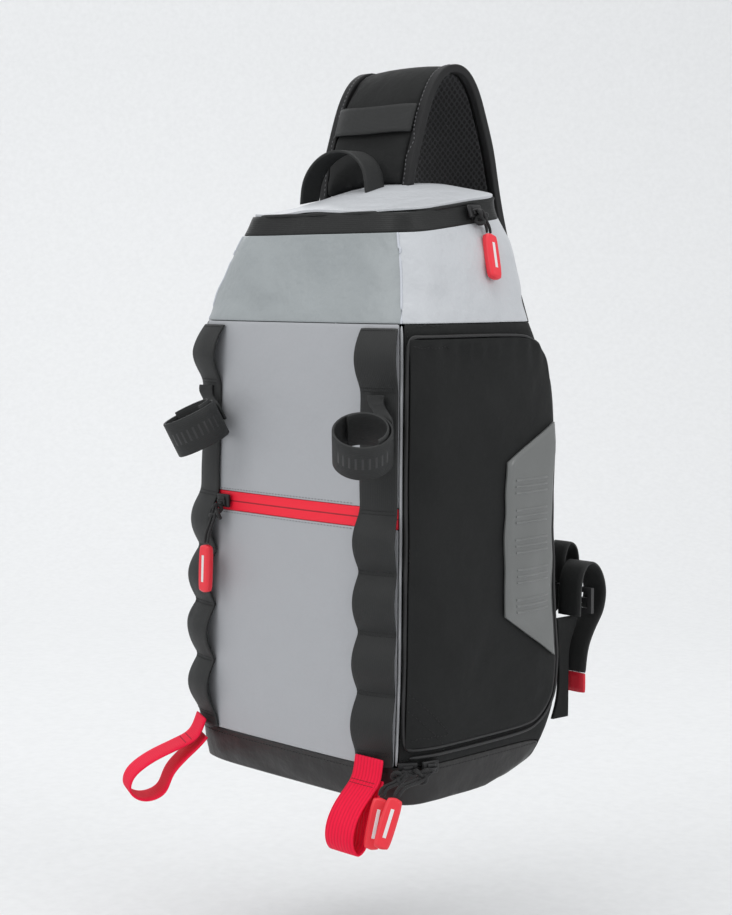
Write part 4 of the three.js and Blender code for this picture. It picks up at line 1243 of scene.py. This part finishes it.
@dataclass
class Seams:
    """Every visible row of thread."""

    panels: dict[str, Object]
    bands: dict[str, Object]
    zip_margin: float = 0.0082
    base_margin: float = 0.0035
    tack_top: float = 0.308
    tack_pitch: float = 0.039
    tack_half: float = 0.0011
    lash_heights: tuple[float, float] = (0.0185, 0.0165)
    lash_half: float = 0.0115

    def build(self) -> None:
        """Sews the front, the yoke, the door, the base and the webbing."""
        self._front()
        self._rim()
        self._door()
        self._base()
        self._tacks()
        self._loops()
        self._strap()

    def _pick(self, *names: str) -> Skin:
        """The skin of some panels."""
        return Skin([self.panels[n] for n in names])

    def _front(self) -> None:
        """Rows beside the front zip and above the yoke's seam."""
        rows = Stitching("front_stitches", THREAD_GREY)
        skin = self._pick("front_panel_upper", "front_panel_lower")
        for z in (ZIP_MIDDLE - self.zip_margin, ZIP_MIDDLE + self.zip_margin):
            rows.row(level_line(z, -52, 42), skin, plan_way)
        rows.done()
        for side in ("right", "left"):
            skin = self._pick("yoke_front", "yoke_" + side)
            line = even(seam_line("yoke_front", "yoke_" + side), 0.0015)
            laid = [skin.lay(p, plan_way(p)) for p in line]
            lifted = [hit[0] + hit[1] * 0.0002 for hit in laid if hit]
            piece = rod(f"yoke_seam_{side}_cord", lifted, 0.0008)
            finish_piece(piece, SEAM_PALE)

    def _rim(self) -> None:
        """The rolled upper edge of the top zip's tape, with a point for every few degrees."""
        co = coordinates(self.panels["top_zip"].data)
        flat = co - np.array(ROW_SHIFT)
        reach = np.hypot(flat[:, 0], flat[:, 1])
        turns = np.degrees(np.arctan2(flat[:, 0], -flat[:, 1]))
        line: list[Vector] = []
        for turn in np.arange(turns.min(), turns.max() + RIM_STEP, RIM_STEP):
            near = np.abs(turns - turn) < 1.5 * RIM_STEP
            upper = near & (co[:, 2] > co[near, 2].max() - 0.0008)
            score = np.where(upper, reach - 0.004 * np.abs(turns - turn), -1.0)
            line.append(Vector(co[score.argmax()]))
        eased = [a.lerp(c, 0.5).lerp(b, 0.4) for a, b, c in zip(line, line[1:], line[2:])]
        finish_piece(rod("top_zip_rolled_edge", eased, 0.0013), ZIP_BLACK)

    def _door(self) -> None:
        """A row inside the door's piping and one outside it."""
        skin = self._pick("side_door", "side_wall_right")
        line = spine("door_piping", 0.0035, bag(100, -60, 40))
        middle = sum(line, Vector()) / len(line)
        rows = Stitching("door_stitches", THREAD_DARK)
        for share in (0.945, 1.05):
            ring = [middle + (p - middle) * share for p in line]
            rows.row(ring, skin, plan_way)
        rows.done()

    def _base(self) -> None:
        """A row below the base's top edge."""
        rows = Stitching("base_stitches", THREAD_DARK)
        line = level_line(BASE_TOP - self.base_margin, -150, 150, 400)
        rows.row(line, self._pick("base_boot"), plan_way)
        rows.done()

    def _tacks(self) -> None:
        """Two tight rows across each tack of both columns."""
        rows = Stitching("column_tacks", THREAD_DARK, 0.0016, 0.0015, 0.0003)
        for side in ("right", "left"):
            skin = Skin([self.bands["webbing_column_" + side]])
            low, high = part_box("webbing_column_" + side)
            for k in range(8):
                for step in (-self.tack_half, self.tack_half):
                    z = self.tack_top + ROW_SHIFT.z - self.tack_pitch * k + step
                    line = [Vector((x, low.y, z)) for x in (low.x + 0.001, high.x - 0.001)]
                    rows.row(line, skin, lambda p: Vector((0.0, -1.0, 0.0)))
        rows.done()

    def _loops(self) -> None:
        """Rows across the lash loops below their heads."""
        rows = Stitching("lash_stitches", THREAD_RED, 0.0018, 0.0016, 0.0003)
        for side, ahead in (("right", (0.0, -1.0, 0.0)), ("left", (-0.45, -0.89, 0.0))):
            skin = Skin([self.bands["lash_loop_" + side]])
            low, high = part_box("lash_loop_" + side)
            out = Vector(ahead)
            across = Vector((-out.y, out.x, 0.0))
            head = Vector(((low.x + high.x) / 2, (low.y + high.y) / 2, 0.0))
            ends = (-self.lash_half, self.lash_half)
            for z in self.lash_heights:
                line = [head + across * w + Vector((0, 0, z + ROW_SHIFT.z)) for w in ends]
                rows.row(line, skin, lambda p, way=out: way)
        rows.done()

    def _strap(self) -> None:
        """A row along each binding of the shoulder strap."""
        rows = Stitching("strap_stitches", THREAD_CHARCOAL, 0.0032, 0.0022, 0.0004)
        centre = bag(-34, 86.56, 400)
        for side in ("left", "right"):
            node = "strap_binding_" + side
            skin = Skin([self.bands[node]])
            line = spine(node, 0.0105, bag(-34, 40, 400))
            away = 0.0022 if side == "left" else -0.0022
            line = [p + Vector((away, 0, 0)) for p in line]
            rows.row(line, skin, lambda p: Vector((0, (p - centre).y, (p - centre).z)).normalized())
        rows.done()


def main() -> None:
    """Builds the whole bag, piece by piece."""
    logging.basicConfig(level=logging.INFO, format="%(name)s %(message)s")
    panels = Panels({
        "front_panel_upper": (FRONT_GREY, "panel_grey", 3),
        "front_panel_lower": (FRONT_GREY, "panel_grey", 3),
        "yoke_front": (YOKE_GREY, "yoke_grey", 3),
        "yoke_right": (PALE_WALL, "pale_grey", 3),
        "yoke_left": (PALE_WALL, "pale_grey", 2),
        "yoke_back": (BLACK_CLOTH, "black_cloth", 2),
        "side_wall_right": (BLACK_CLOTH, "black_cloth", 2),
        "side_wall_left": (BLACK_CLOTH, "black_cloth", 2),
        "back_wall": (BLACK_CLOTH, "black_cloth", 2),
        "side_door": (BLACK_CLOTH, "black_cloth", 3),
        "base_boot": (COATED_BLACK, "coated_black", 3),
        "front_zip": (ZIP_RED, "red_zip", 2),
        "top_zip": (ZIP_BLACK, "black_zip", 2),
    })
    panels.build()
    TopFlap().build()
    Patch().build()
    Piping({
        "corner_piping_right": (REFLECTIVE, "reflective_piping"),
        "corner_piping_left": (REFLECTIVE, "reflective_piping"),
        "door_piping": (BLACK_PIPING, "binding"),
        "gusset_piping": (BLACK_PIPING, "binding"),
    }).build()
    level = (1.0, 0.0, 0.0)
    flat = webbing("WebbingLevel", level)
    across_left = (0.89, -0.45, 0.0)
    bands = Webbing({
        "webbing_column_right": (flat, "black_webbing", True),
        "webbing_column_left": (flat, "black_webbing", True),
        "tool_ring_right": (webbing("WebbingRingRight", RING_AXES["right"]), "black_webbing", False),
        "tool_ring_left": (webbing("WebbingRingLeft", RING_AXES["left"]), "black_webbing", False),
        "ring_tab_right": (flat, "black_webbing", False),
        "ring_tab_left": (flat, "black_webbing", False),
        "lash_loop_right": (lash_webbing("LashRight", level), "red_webbing", False),
        "lash_loop_left": (lash_webbing("LashLeft", across_left), "red_webbing", False),
        "strap_mesh": (AIR_MESH, "mesh", False),
        "strap_binding_left": (BINDING, "binding", False),
        "strap_binding_right": (BINDING, "binding", False),
        "strap_keeper": (webbing("WebbingUpright", (0.0, 0.35, 0.94), 0.001), "black_webbing", False),
        "grab_handle": (webbing("WebbingHandle", (0.0, 1.0, 0.0)), "black_webbing", False),
        "adjust_webbing": (flat, "black_webbing", False),
        "webbing_fold": (flat, "black_webbing", False),
        "tail_webbing": (flat, "black_webbing", False),
        "strap_wing": (BLACK_CLOTH, "black_cloth", False),
        "tail_tag": (TAG_RED, "red_tag", False),
    })
    bands.build()
    Padding("back_pad", BLACK_CLOTH, "mesh", cap=0.003, guards=("back_wall",)).build()
    Padding(
        "shoulder_strap", BLACK_CLOTH, "black_cloth", voxel=0.0028, cap=0.0022,
        guards=("strap_mesh", "strap_keeper"), clear=(0.0012, 0.006)).build()
    RingMarks().build()
    for name in ("front_zip", "top_zip", "door_zip_1", "door_zip_2"):
        Pull(name).build()
    dress_node("ladder_lock", LOCK_PLASTIC, 0.0006)
    Seams(panels.made, bands.made).build()
    Studio().build()


if __name__ == "__main__":
    main()
